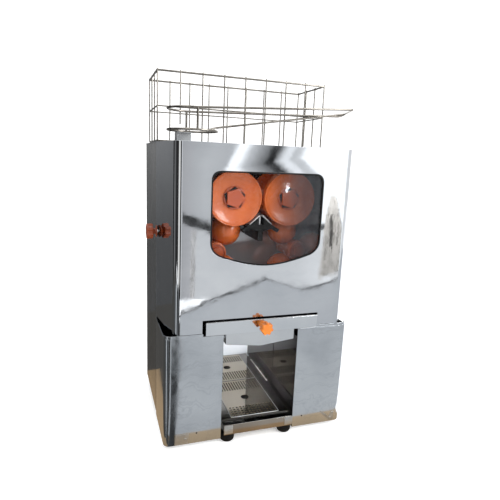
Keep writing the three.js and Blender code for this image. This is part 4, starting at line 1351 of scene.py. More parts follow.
@dataclass(frozen=True)
class Base(Assembly):
    """Welded base of square tubes on four rubber feet.

    Attributes:
        radius: Radius of a foot.
        pad: Radius of the flat that rests on the counter.
        nose: Height where the foot's rounded nose ends.
        nose_steps: Steps of the rounded nose.
        groove: How far a foot's surface lies inside its radius, and under its top, up the
            groove and over the top edge.
        spread: Distance of the feet from the middle.
        depths: Places of the feet along y.
        tube_half: Half the width of a tube's end cap.
        tube_middles: Places of the two long tubes.
        tube_height: Height of the tubes' middle.
        tube_front: Front face of the tubes.
        cap_proud: How far the end caps stand off.
        cap_rounding: Radius of the end caps' rims.
    """

    radius: float = 16.2
    pad: float = 9.5
    nose: float = 9.0
    nose_steps: int = 8
    groove: tuple[Flat, ...] = (
        (0.0, 3.2), (0.8, 2.8), (0.8, 2.2), (0.0, 1.8), (0.0, 0.5), (0.5, 0.0))
    spread: float = 67.0
    depths: tuple[tuple[str, float], ...] = (("front", 9.0), ("rear", 300.0))
    tube_half: float = 9.6
    tube_middles: Flat = (-68.5, 71.5)
    tube_height: float = 32.5
    tube_front: float = -8.0
    cap_proud: float = 0.9
    cap_rounding: float = 0.4

    def tubes(self) -> None:
        """Build the welded tubes and the caps on the ends of the two long ones."""
        tubes = self.shell("base_frame", "tubes", "machine", Finishes.RAIL, 1.2, 3)
        # Painted reflection: the forward faces at the front get the warm painted floor
        # reflection.
        self.repaint(tubes, Finishes.CROSS,
                     lambda middle, normal: normal.y < -FACING and middle.y < 0)
        caps = Sculpture("base_tube_caps")
        outline = circle(self.tube_half * math.sqrt(2), 4, math.pi / 4)
        for middle in self.tube_middles:
            caps.prism(outline, Axis.Y, self.tube_front - self.cap_proud, self.tube_front,
                       (middle, self.tube_height), self.cap_rounding, 3)
        caps.piece("machine", Finishes.PATCH)

    def foot(self, node: str, centre: Flat) -> None:
        """Build a rubber foot.

        Args:
            node: Node that it stands for.
            centre: Its middle in x and y.
        """
        top = self.span(node)[1].z
        profile = [(0.0, 0.0), (self.pad, 0.0)]
        for step in range(1, self.nose_steps + 1):
            turn = math.pi / 2 * step / self.nose_steps
            profile.append((self.pad + (self.radius - self.pad) * math.sin(turn),
                            self.nose * (1 - math.cos(turn))))
        profile += [(self.radius - inset, top - under) for inset, under in self.groove]
        shape = Sculpture(f"{node}_rubber").lathe([*profile, (0.0, top)], Axis.Z, centre, 48)
        shape.piece("machine", Finishes.RUBBER, [node], sharp=40)

    def build(self) -> None:
        """Build and dress the base."""
        self.tubes()
        for name, depth in self.depths:
            for side in Side:
                self.foot(f"foot_{name}_{side.label}", (side.value * self.spread, depth))


@dataclass(frozen=True)
class SlotRow:
    """A row of fine slots across a plate.

    Attributes:
        low: Front end of the slots.
        high: Back end of the slots.
        pitch: Distance between slots.
        width: Width of a slot.
        count: Number of slots.
        steps: Steps of a slot's round ends.
    """

    low: float
    high: float
    pitch: float = 6.4
    width: float = 3.0
    count: int = 17
    steps: int = 6

    def outlines(self) -> list[list[Flat]]:
        """List the outlines of the slots.

        Returns:
            One outline for each slot, with round ends.
        """
        radius = self.width / 2
        made = []
        for index in range(self.count):
            middle = (index - (self.count - 1) / 2) * self.pitch
            loop = []
            for end, start in ((self.high - radius, 0.0), (self.low + radius, math.pi)):
                for step in range(self.steps + 1):
                    angle = start + math.pi * step / self.steps
                    loop.append((middle + radius * math.cos(angle),
                                 end + radius * math.sin(angle)))
            made.append(loop)
        return made


@dataclass(frozen=True)
class DripTray(Assembly):
    """Drip pan with its two perforated plates, and the lining of the bay round them.

    Attributes:
        shade_front: Place along y before which the pan's forward faces get the painted shade.
        round_radius: Radius of the finger hole in each plate.
        round_places: Places of the finger holes along y.
        square: Width of a square hole.
        square_pitch: Distance between square holes.
        square_counts: Columns and rows of square holes.
        square_from: Place of the first row along y.
        edge: Radius of the softened edges of plates and holes.
        rim: Wire of the bright rims at the plates' front and sides.
        rim_share: How far the rims' middle lies under the plates' top, as a share of their
            radius.
        rim_bend: Size of the bends at the rims' corners.
        seam: How far each plate ends before the seam between the two.
        front_rows: Slot rows of the front plate.
        rear_rows: Slot rows of the rear plate.
    """

    shade_front: float = 30.0
    round_radius: float = 9.5
    round_places: Flat = (92.0, 251.0)
    square: float = 4.3
    square_pitch: float = 8.1
    square_counts: tuple[int, int] = (13, 5)
    square_from: float = 20.0
    edge: float = 0.3
    rim: Wire = Wire(0.7, 10)
    rim_share: float = 0.4
    rim_bend: float = 2.0
    seam: float = 1.0
    front_rows: tuple[SlotRow, ...] = (SlotRow(128.0, 168.0),)
    rear_rows: tuple[SlotRow, ...] = (SlotRow(184.0, 224.0), SlotRow(280.0, 316.0))

    def squares(self) -> list[tuple[Flat, ...]]:
        """List the outlines of the square holes in the front plate.

        Returns:
            One outline for each hole.
        """
        made = []
        half = self.square / 2
        columns, rows = self.square_counts
        for row in range(rows):
            y = self.square_from + row * self.square_pitch
            for column in range(columns):
                x = (column - (columns - 1) / 2) * self.square_pitch
                made.append(rectangle((x - half, y - half), (x + half, y + half)))
        return made

    def plate(self, node: str, body: str, seams: Flat,
              holes: Sequence[Sequence[Flat]]) -> None:
        """Build a perforated plate with its bright rim.

        Args:
            node: Node that it stands for.
            body: Body it moves with.
            seams: How far it ends before its node's front and back.
            holes: Outlines of its holes.
        """
        low, high = self.span(node)
        front, back = low.y + seams[0], high.y - seams[1]
        shape = Sculpture(f"{node}_sheet")
        shape.pierced(rectangle((low.x, front), (high.x, back)), holes, low.z, high.z,
                      self.edge)
        shape.piece(body, Finishes.PLATE, [node], sharp=10)
        radius = self.rim.radius
        left, right, ahead = low.x + radius, high.x - radius, front + radius
        path = ((left, back), (left, ahead), (right, ahead), (right, back))
        corners = [lifted(flat, high.z - radius * self.rim_share, Axis.Z) for flat in path]
        rim = Sculpture(f"{node}_rim")
        rim.tube(rounded_path(corners, self.rim_bend, 4), self.rim)
        rim.piece(body, Finishes.BRIGHT, sharp=50)

    def build(self) -> None:
        """Build and dress the tray and the bay's lining."""
        # The bay lining gets the dark brown painted shade.
        self.shell("bay_lining", "sheet", "machine", Finishes.BAY)
        pan = self.shell("drip_pan", "tray", "pan", Finishes.PAN, 0.5, 3)
        low, high = self.span("drip_pan")
        half_height = (low.z + high.z) / 2
        # Painted shade: the pan's front faces and its inner floor are painted near black, where
        # shade falls under the plates.
        self.repaint(pan, Finishes.SHADE, lambda middle, normal:
                     normal.y < -FACING and middle.y < self.shade_front
                     or normal.z > FACING and middle.z < half_height)
        front_hole, rear_hole = (circle(self.round_radius, 40, 0.0, (0.0, place))
                                 for place in self.round_places)
        front = [hole for row in self.front_rows for hole in row.outlines()]
        rear = [hole for row in self.rear_rows for hole in row.outlines()]
        self.plate("drip_plate_front", "plate_front", (0.0, self.seam),
                   [*front, front_hole, *self.squares()])
        self.plate("drip_plate_rear", "plate_rear", (self.seam, 0.0), [*rear, rear_hole])


@dataclass(frozen=True)
class BinMarks:
    """Small marks on the front of one bin, in x and z.

    Attributes:
        hole: Middle of the small hole.
        strap: Outline of the welded strap.
        rivet: Middle of the strap's rivet.
    """

    hole: Flat
    strap: tuple[Flat, ...]
    rivet: Flat


@dataclass(frozen=True)
class Bins(Assembly):
    """Two peel bins beside the cup bay.

    Attributes:
        outer: Distance of the outer walls from the middle.
        inner_reach: Distance from the middle within which a side wall faces the cup bay and gets
            the bay's painted shade.
        corner: Radius of the front corners.
        corner_steps: Steps of a front corner.
        front: Front face of the bins.
        sheet: Thickness of the lip.
        lip_from: Where the lip starts, away from the middle.
        lip: Lowest and highest place of the lip.
        marks: Marks of the left and the right bin.
        plug: Radius and standing-off along the small hole's plug.
        rivet: Radius and standing-off along a rivet's head.
        strap: Thickness of the straps.
    """

    outer: float = 205.7
    inner_reach: float = 110.0
    corner: float = 14.0
    corner_steps: int = 8
    front: float = -1.0
    sheet: float = 2.0
    lip_from: float = 127.0
    lip: Flat = (246.6, 252.6)
    marks: tuple[BinMarks, BinMarks] = (
        BinMarks((-137.0, 32.0), ((-184.0, 11.5), (-156.0, 11.5), (-153.0, 33.0),
                                  (-181.0, 33.0)), (-161.0, 21.0)),
        BinMarks((107.0, 34.5), ((152.0, 37.4), (155.0, 40.0), (177.0, 22.0), (183.0, 33.0),
                                 (189.0, 33.0), (189.0, 13.0), (178.0, 12.0)), (181.0, 18.0)),
    )
    plug: tuple[Flat, ...] = ((0.0, 0.0), (1.8, 0.0), (1.44, 0.3), (0.0, 0.4))
    rivet: tuple[Flat, ...] = ((0.0, 0.0), (3.4, 0.0), (2.8, 0.7), (1.4, 0.9), (0.0, 0.5))
    strap: float = 0.5

    def rim(self, side: Side) -> list[Flat]:
        """List the outline of the folded lip on the front wall and its outer corner.

        Args:
            side: Left or right.

        Returns:
            The lip's outline in x and y.
        """
        middle = (self.outer - self.corner, self.front + self.corner)
        turns = [math.pi / 2 * step / self.corner_steps for step in range(self.corner_steps + 1)]
        outer = [(self.lip_from, self.front)]
        inner = [(self.lip_from, self.front + self.sheet)]
        for radius, path in ((self.corner, outer), (self.corner - self.sheet, inner)):
            path += [(middle[0] + radius * math.sin(turn), middle[1] - radius * math.cos(turn))
                     for turn in turns]
        return [(side.value * x, y) for x, y in (*outer, *reversed(inner))]

    def fittings(self, side: Side, marks: BinMarks) -> None:
        """Build the lip, the small hole's plug and the welded strap of a bin.

        Args:
            side: Left or right.
            marks: Where its marks lie.
        """
        body, name = f"bin_{side.label}", f"peel_bin_{side.label}"
        lip = Sculpture(f"{name}_lip").prism(self.rim(side), Axis.Z, *self.lip)
        lip.piece(body, Finishes.BIN, bevel=0.3)
        plug = Sculpture(f"{name}_plug")
        plug.lathe([(radius, self.front - proud) for radius, proud in self.plug], Axis.Y,
                   marks.hole, 24)
        plug.piece(body, Finishes.BLACK)
        count = len(marks.strap)
        middle = (sum(x for x, _ in marks.strap) / count, sum(z for _, z in marks.strap) / count)
        outline = [(x - middle[0], z - middle[1]) for x, z in marks.strap]
        face = self.front - self.strap
        patch = Sculpture(f"{name}_patch").prism(outline, Axis.Y, face, self.front, middle)
        patch.lathe([(radius, face - proud) for radius, proud in self.rivet], Axis.Y,
                    marks.rivet, 32)
        patch.piece(body, Finishes.PATCH, bevel=0.2)

    def build(self) -> None:
        """Build and dress the bins."""
        for side, marks in zip(Side, self.marks):
            box = self.shell(f"peel_bin_{side.label}", "box", f"bin_{side.label}",
                             Finishes.BIN, 0.5, 3)
            # Painted shade: the side walls that face the cup bay get the dark painted shade of
            # the bay lining.
            self.repaint(box, Finishes.BAY, lambda middle, normal:
                         abs(normal.x) > FACING and abs(middle.x) < self.inner_reach)
            self.fittings(side, marks)


@dataclass(frozen=True)
class Drums(Assembly):
    """Cup drums, ball drums and their caps.

    Attributes:
        cup_axis: Distance of the cup drums' axes from the middle.
        cup_height: Height of the cup drums' axes.
        face: Front of the cup drums' discs.
        sunk: How far the dished rim reaches into the disc.
        dish: Radius and depth of the dished rim on each disc.
        seal_radius: Reach of the black five-sided plate behind each cap, painted shade in the
            gap round the cap.
        seal_depth: Thickness of that plate.
        seal_rounding: Radius of that plate's rims.
    """

    cup_axis: float = 60.0
    cup_height: float = 526.0
    face: float = 38.0
    sunk: float = 0.4
    dish: tuple[Flat, ...] = (
        (24.0, 37.8), (30.0, 37.0), (36.0, 35.8), (42.0, 34.2), (47.0, 32.4), (51.0, 30.5),
        (53.2, 29.2), (54.2, 28.0), (55.2, 27.6), (56.2, 28.0), (57.0, 29.4))
    seal_radius: float = 23.4
    seal_depth: float = 4.5
    seal_rounding: float = 0.6

    def cup_drum(self, side: Side) -> None:
        """Build a cup drum with a raised rim on its front disc, and the black plate of painted
        shade behind its cap.

        Args:
            side: Left or right.
        """
        node, body = f"cup_drum_{side.label}", f"cup_rotor_{side.label}"
        centre = (side.value * self.cup_axis, self.cup_height)
        inside = self.face + self.sunk
        shape = Sculpture(f"{node}_disc").shell_of(self.frame["nodes"][node])
        shape.lathe([(self.dish[0][0], inside), *self.dish, (self.dish[-1][0], inside)],
                    Axis.Y, centre, 120)
        shape.piece(body, Finishes.ORANGE, [node], 0.5, 2, 30)
        # Painted shade: a black five-sided plate behind the cap shows as the dark gap round it.
        shade_plate = Sculpture(f"cup_seal_{side.label}")
        shade_plate.prism(circle(self.seal_radius, 5, math.pi / 2), Axis.Y,
                   self.face - self.seal_depth, self.face, centre, self.seal_rounding, 3)
        shade_plate.piece(body, Finishes.BLACK)

    def build(self) -> None:
        """Build and dress the drums."""
        for side in Side:
            label = side.label
            self.cup_drum(side)
            # The cup caps and ball caps get the darker orange of painted shade.
            self.shell(f"cup_cap_{label}", "nut", f"cup_rotor_{label}", Finishes.CAP, 2.2, 4)
            self.shell(f"ball_drum_{label}", "balls", f"ball_rotor_{label}", Finishes.ORANGE,
                       0.8, 3)
            self.shell(f"ball_cap_{label}", "ring", f"ball_rotor_{label}", Finishes.CAP,
                       0.7, 3)


@dataclass(frozen=True)
class KnifeGroup(Assembly):
    """Knife, its holder with the peel arms, and the bright sheets beside it."""

    def build(self) -> None:
        """Build and dress the knife group."""
        self.shell("knife_blade", "steel", "machine", Finishes.BRIGHT, 0.2)
        self.shell("knife_holder", "arms", "machine", Finishes.BLACK, 0.8, 3)
        for side in Side:
            self.shell(f"deflector_{side.label}", "sheet", "machine", Finishes.BRIGHT, 0.2)


@dataclass(frozen=True)
class JuicePath(Assembly):
    """Hopper, drawer with its knob, runners and tank.

    Attributes:
        knob: The drawer's grip.
        knob_height: Height of the grip's axis.
        roll: The rolled edge of the drawer's front.
        roll_share: How far the roll's middle lies over the front's top edge, as a share of
            its radius.
    """

    knob: StarKnob = StarKnob(radius=13.6, lobes=7, valley_share=0.8, depth=16.0,
                              rounding=3.0, neck=7.0)
    knob_height: float = 264.5
    roll: Wire = Wire(0.8, 16)
    roll_share: float = 0.6

    def rolled_edge(self) -> None:
        """Build the rolled top edge of the drawer's front."""
        low, high = self.span("drawer_front")
        radius = self.roll.radius
        ends = (low.x + radius, 0.0, high.x - radius)
        top = high.z + radius * self.roll_share
        roll = Sculpture("drawer_front_roll")
        roll.tube([(x, low.y + radius, top) for x in ends], self.roll)
        roll.piece("drawer", Finishes.TURNED, sharp=50)

    def grip(self) -> None:
        """Build the drawer's star knob."""
        low, high = self.span("drawer_knob")
        length = high.y - low.y - self.knob.depth
        shape = Sculpture("drawer_knob_grip")
        self.knob.add(shape, Axis.Y, (0.0, self.knob_height), high.y, -1.0, length,
                      math.pi / 2)
        shape.piece("drawer_knob", Finishes.KNOB, ["drawer_knob"], sharp=50)

    def build(self) -> None:
        """Build and dress the juice path."""
        self.shell("juice_collector", "hopper", "machine", Finishes.INNER)
        self.shell("drawer_runners", "rails", "machine", Finishes.INNER, 0.3)
        self.shell("pulp_drawer", "tray", "drawer", Finishes.INNER)
        self.shell("drawer_front", "plate", "drawer", Finishes.DRAWER, 0.5, 3)
        self.rolled_edge()
        self.shell("juice_tank", "shell", "machine", Finishes.TANK, 0.6, 3)
        self.grip()


@dataclass(frozen=True)
class Basket(Assembly):
    """Wire basket on the top plate.

    Attributes:
        left: Place of the left wall.
        right: Place of the right wall.
        front: Place of the front wall.
        depth: Distance between the front and back walls.
        cells: Number of cells along x and y.
        floor: Height of the floor wires.
        tiers: Number of tiers.
        tier: Height of one tier.
        wire: Wire of the floor and the walls.
        ring: Wire of the level rings.
        rim: Wire of the highest ring.
        bend: Size of the bends at the rings' corners.
        proud: How far the uprights stand above the rim.
        tip: Length of the uprights' end pieces.
        stub: Length of the short wire under the middle ring.
        stub_column: Column of the front wall that has the short wire.
        floor_every: Number of cells from one floor wire across to the next.
    """

    left: float = -205.5
    right: float = 164.0
    front: float = 111.3
    depth: float = 138.6
    cells: tuple[int, int] = (8, 3)
    floor: float = 634.8
    tiers: int = 2
    tier: float = 68.0
    wire: Wire = Wire(1.5, 10)
    ring: Wire = Wire(1.5)
    rim: Wire = Wire(2.1)
    bend: float = 3.0
    proud: float = 3.5
    tip: float = 0.5
    stub: float = 34.0
    stub_column: int = 1
    floor_every: int = 2

    def rings(self, shape: Sculpture) -> None:
        """Add the level rings.

        Args:
            shape: The sculpture.
        """
        outline = rectangle((self.left, self.front), (self.right, self.front + self.depth))
        for tier in range(self.tiers + 1):
            wire = self.rim if tier == self.tiers else self.ring
            corners = [lifted(flat, self.floor + tier * self.tier, Axis.Z) for flat in outline]
            shape.tube(rounded_path(corners, self.bend, 5, True), wire, True)

    def columns(self, shape: Sculpture, top: float) -> None:
        """Add the uprights of the long walls and the floor wires from front to back.

        Args:
            shape: The sculpture.
            top: Height of the uprights' tips.
        """
        back, count = self.front + self.depth, self.cells[0]
        stub_foot = self.floor + self.tier - self.stub
        for column in range(count + 1):
            x = self.left + column * (self.right - self.left) / count
            foot = stub_foot if column == self.stub_column else self.floor
            for y, low in ((self.front, foot), (back, self.floor)):
                shape.tube([(x, y, low), (x, y, top - self.tip), (x, y, top)], self.wire)
            if 0 < column < count and column % self.floor_every == 0:
                shape.tube([(x, self.front, self.floor), (x, back, self.floor)], self.wire)

    def rows(self, shape: Sculpture, top: float) -> None:
        """Add the uprights of the short walls and the floor wires from left to right.

        Args:
            shape: The sculpture.
            top: Height of the uprights' tips.
        """
        for row in range(1, self.cells[1]):
            y = self.front + row * self.depth / self.cells[1]
            for x in (self.left, self.right):
                shape.tube([(x, y, self.floor), (x, y, top)], self.wire)
            shape.tube([(self.left, y, self.floor), (self.right, y, self.floor)], self.wire)

    def build(self) -> None:
        """Build and dress the basket."""
        shape = Sculpture("wire_basket_wires")
        top = self.floor + self.tiers * self.tier + self.proud
        self.rings(shape)
        self.columns(shape, top)
        self.rows(shape, top)
        shape.piece("basket", Finishes.WIRE, ["wire_basket"], sharp=60)


@dataclass(frozen=True)
class FeedGuide(Assembly):
    """Bent-wire guide that leads oranges to the feed, on its bracket.

    Attributes:
        ring: Middle of the ring in x and y.
        radius: Radius of the ring.
        ring_sides: Steps round the ring.
        arc_steps: Steps of the loop's half circle over the ring.
        wire: The bent wire.
        low: Height of the ring.
        high: Height of the loop over the ring.
        near_end: Near corner of the loop.
        bend: Far bend of the loop.
        tip: Far end of the loop.
        loop_bend: Size of the loop's bends.
        brace: Corner of the sloping brace.
        brace_turn: Angle on the ring where the brace starts.
        brace_bend: Size of the brace's bend.
        lean: How far the far post leans left.
    """

    ring: Flat = (-144.0, 59.0)
    radius: float = 48.5
    ring_sides: int = 48
    arc_steps: int = 20
    wire: Wire = Wire(2.25)
    low: float = 655.0
    high: float = 695.0
    near_end: Point = (182.0, 10.5, 713.5)
    bend: Point = (206.0, 107.5, 708.5)
    tip: Point = (219.0, 107.5, 715.0)
    loop_bend: float = 7.0
    brace: Point = (-85.0, 107.5, 666.0)
    brace_turn: float = math.pi / 3
    brace_bend: float = 8.0
    lean: float = 3.0

    def on_ring(self, turn: float, height: float) -> Point:
        """Give the point over the ring at an angle in radians and a height."""
        x, y = self.ring
        return (x + self.radius * math.cos(turn), y + self.radius * math.sin(turn), height)

    def loop(self, shape: Sculpture) -> None:
        """Add the long loop that the oranges roll along.

        Args:
            shape: The sculpture.
        """
        turns = [math.pi / 2 + step * math.pi / self.arc_steps
                 for step in range(self.arc_steps + 1)]
        arc = [self.on_ring(turn, self.high) for turn in turns]
        ends = rounded_path([arc[-1], self.near_end, self.tip, self.bend, arc[0]],
                            self.loop_bend, 5)
        shape.tube([*arc, *ends[1:-1]], self.wire, True)

    def support(self, shape: Sculpture) -> None:
        """Add the two posts, the ring under the loop and the sloping brace.

        Args:
            shape: The sculpture.
        """
        x, y = self.ring
        for px, py in ((x - self.lean, y + self.radius), (x, y - self.radius)):
            shape.tube([(px, py, self.low), (px, py, self.high)], self.wire)
        ring = [lifted(flat, self.low, Axis.Z)
                for flat in circle(self.radius, self.ring_sides, 0.0, self.ring)]
        shape.tube(ring, self.wire, True)
        start = self.on_ring(self.brace_turn, self.low)
        shape.tube(rounded_path([start, self.brace, self.tip], self.brace_bend, 5), self.wire)

    def build(self) -> None:
        """Build and dress the guide and its bracket."""
        shape = Sculpture("feed_guide_wires")
        self.loop(shape)
        self.support(shape)
        shape.piece("guide", Finishes.GUIDE, ["feed_guide"], sharp=60)
        bracket = self.shell("guide_bracket", "block", "machine", Finishes.TURNED, 0.8, 3)
        self.repaint(bracket, Finishes.BLACK, lambda middle, normal: normal.z > FACING)


@dataclass(frozen=True)
class Electrics(Assembly):
    """Power switch and cable inlet on the back."""

    def build(self) -> None:
        """Build and dress the electrics."""
        self.shell("switch_housing", "frame", "machine", Finishes.BLACK, 0.8, 3)
        self.shell("power_rocker", "key", "rocker", Finishes.BLACK, 0.9, 3)
        self.shell("cable_gland", "nut", "machine", Finishes.BLACK, 0.5)


@dataclass(frozen=True)
class Drive(Assembly):
    """Shafts, gears, bearings, plates, gearbox and motor inside the casing."""

    def build(self) -> None:
        """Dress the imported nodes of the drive, which keep their shapes."""
        for side in Side:
            for kind in ("cup", "ball"):
                self.keep(f"{kind}_shaft_{side.label}", Finishes.TURNED, 0.6)
                self.keep(f"{kind}_gear_{side.label}", Finishes.CAST)
                self.keep(f"{kind}_bearing_{side.label}", Finishes.CAST, 0.5)
        self.keep("drive_pinion", Finishes.TURNED)
        self.keep("bearing_wall", Finishes.WALL)
        self.keep("gear_plate", Finishes.INNER)
        self.keep("drive_gearbox", Finishes.CAST, 1.0)
        self.keep("drive_motor", Finishes.MOTOR, 1.0)


@dataclass(frozen=True)
class CameraPose:
    """Viewpoint solved from the straight edges of the object.

    Attributes:
        place: Place of the camera in metres in the frame.
        yaw: Turn to the right in radians.
        pitch: Tilt down in radians.
        roll: Roll in radians.
        lens: Focal length in millimetres.
        sensor: Width of the sensor in millimetres.
    """

    place: Point = (-0.3242, -0.9946, 0.6024)
    yaw: float = 0.3324
    pitch: float = 0.1973
    roll: float = 0.0423
    lens: float = 32.27
    sensor: float = 36.0

    def create(self) -> None:
        """Create the scene's camera."""
        up = Vector((0, 0, 1))
        ahead = Vector((math.sin(self.yaw), math.cos(self.yaw), 0))
        right = Vector((math.cos(self.yaw), -math.sin(self.yaw), 0))
        look = ahead * math.cos(self.pitch) - up * math.sin(self.pitch)
        top = up * math.cos(self.pitch) + ahead * math.sin(self.pitch)
        side = right * math.cos(self.roll) + top * math.sin(self.roll)
        top = top * math.cos(self.roll) - right * math.sin(self.roll)
        data = bpy.data.cameras.new("camera")
        data.lens = self.lens
        data.sensor_width = self.sensor
        made = bpy.data.objects.new("camera", data)
        turned = Matrix((side, top, -look)).transposed().to_4x4()
        made.matrix_world = Matrix.Translation(self.place) @ turned
        bpy.context.collection.objects.link(made)
        bpy.context.scene.camera = made


@dataclass(frozen=True)
class SoftBox:
    """A soft rectangular light.

    Attributes:
        name: Name of the light.
        place: Its middle in metres.
        target: The point that it faces.
        size: Width and height in metres.
        power: Power in watts.
        mirrored: Whether glossy surfaces show it.
        spread: Opening of its beam in degrees.
    """

    name: str
    place: Point
    target: Point
    size: Flat
    power: float
    mirrored: bool = True
    spread: float = 180.0

    def create(self) -> None:
        """Create the light."""
        data = bpy.data.lights.new(self.name, "AREA")
        data.shape = "RECTANGLE"
        data.size, data.size_y = self.size
        data.energy = self.power
        data.spread = math.radians(self.spread)
        made = bpy.data.objects.new(self.name, data)
        made.visible_glossy = self.mirrored
        ahead = Vector(self.target) - Vector(self.place)
        turned = ahead.to_track_quat("-Z", "Y").to_matrix().to_4x4()
        made.matrix_world = Matrix.Translation(self.place) @ turned
        bpy.context.collection.objects.link(made)


@dataclass(frozen=True)
class MirrorCard:
    """A card beside the set that is seen only in the polished steel. Its sizes are in metres.

    Attributes:
        name: Name of the card.
        facing: Axis that the card is square to.
        place: Where it stands along that axis.
        outline: Its corners in the other two coordinates.
        stops: Places from 0 to 1 along the card with the brightness there.
        along: Axis along which its tone runs.
        tint: Red, green and blue of the brightest tone.
        streaks: Strength of the dark wavy streaks.
        streak_clouds: Pattern of the streaks.
        streak_stops: Values of the pattern where a streak starts, is dark, and ends.
    """

    name: str
    facing: Axis
    place: float
    outline: Sequence[Flat]
    stops: tuple[Flat, ...]
    along: Axis = Axis.X
    tint: Point = (1.0, 1.0, 1.0)
    streaks: float = 0.0
    streak_clouds: Clouds = Clouds(5.0, 3.0, (1.0, 1.0, 0.5), 2.2)
    streak_stops: tuple[float, ...] = (0.0, 0.44, 0.475, 0.5, 0.53, 1.0)

    def streaked(self, graph: Graph, tone: Socket) -> Socket:
        """Draw dark wavy streaks over a tone.

        Args:
            graph: The tree being built.
            tone: The card's plain tone.

        Returns:
            The streaked tone.
        """
        plain, dark = (1.0,) * 4, (1.0 - self.streaks,) * 3 + (1.0,)
        tones = (plain, plain, dark, dark, plain, plain)
        lines = graph.ramp(graph.noise(self.streak_clouds), list(zip(self.streak_stops, tones)))
        return graph.mixed(1.0, tone, lines, Blend.MULTIPLY)

    def material(self) -> bpy.types.Material:
        """Build the card's glowing material.

        Returns:
            The material.
        """
        graph = Graph(self.name, Space.BOX)
        most = max(tone for _, tone in self.stops)
        steps = [(place, tuple(value * tone / most for value in self.tint) + (1.0,))
                 for place, tone in self.stops]
        tone = graph.ramp(graph.along(self.along), steps)
        if self.streaks > 0:
            tone = self.streaked(graph, tone)
        return graph.finished(Shader.GLOW, {"Color": tone, "Strength": most})

    def create(self) -> None:
        """Stand the card in the studio."""
        mesh = bmesh.new()
        mesh.faces.new([mesh.verts.new(lifted(flat, self.place, self.facing))
                        for flat in self.outline])
        made = placed(self.name, mesh, self.material())
        made.visible_camera = False
        made.visible_diffuse = False
        made.visible_shadow = False
        made.visible_transmission = False
        made.visible_volume_scatter = False


@dataclass(frozen=True)
class Backdrop:
    """Plain pale floor that rises into a backdrop. Its sizes are in metres.

    Attributes:
        name: Name of the object and its material.
        half_width: Half the floor's width.
        front: Front edge of the floor.
        flat_to: Where the floor starts to rise.
        bend: Radius of the bend.
        bend_steps: Steps of the bend.
        top: Height of the backdrop.
        dark: Darker tone.
        light: Lighter tone.
        clouds: Pattern of the tones.
        polish: Roughness.
        specular: Level of the reflection.
        glow: Share of light that it gives off itself.
    """

    name: str = "studio_floor"
    half_width: float = 6.0
    front: float = -1.15
    flat_to: float = 2.6
    bend: float = 1.4
    bend_steps: int = 12
    top: float = 5.0
    dark: Colour = srgb(248, 248, 248)
    light: Colour = srgb(252, 252, 252)
    clouds: Clouds = Clouds(2.0, 2.0)
    polish: float = 0.7
    specular: float = 0.1
    glow: float = 0.3

    def section(self) -> list[Flat]:
        """List the points of the floor's section from front to top, in y and z."""
        turns = [math.pi / 2 * step / self.bend_steps for step in range(1, self.bend_steps + 1)]
        bend = [(self.flat_to + self.bend * math.sin(turn), self.bend * (1 - math.cos(turn)))
                for turn in turns]
        return [(self.front, 0.0), (self.flat_to, 0.0), *bend,
                (self.flat_to + self.bend, self.top)]

    def create(self) -> None:
        """Build the floor."""
        mesh = bmesh.new()
        left, right = ([mesh.verts.new((x, y, z)) for y, z in self.section()]
                       for x in (-self.half_width, self.half_width))
        for index in range(len(left) - 1):
            mesh.faces.new((left[index], right[index], right[index + 1], left[index + 1]))
        graph = Graph(self.name)
        tone = graph.toned(self.clouds, self.dark, self.light)
        material = graph.finished(Shader.SURFACE, {
            "Base Color": tone, "Roughness": self.polish, "Specular IOR Level": self.specular,
            "Emission Color": tone, "Emission Strength": self.glow,
        })
        placed(self.name, mesh, material, True)


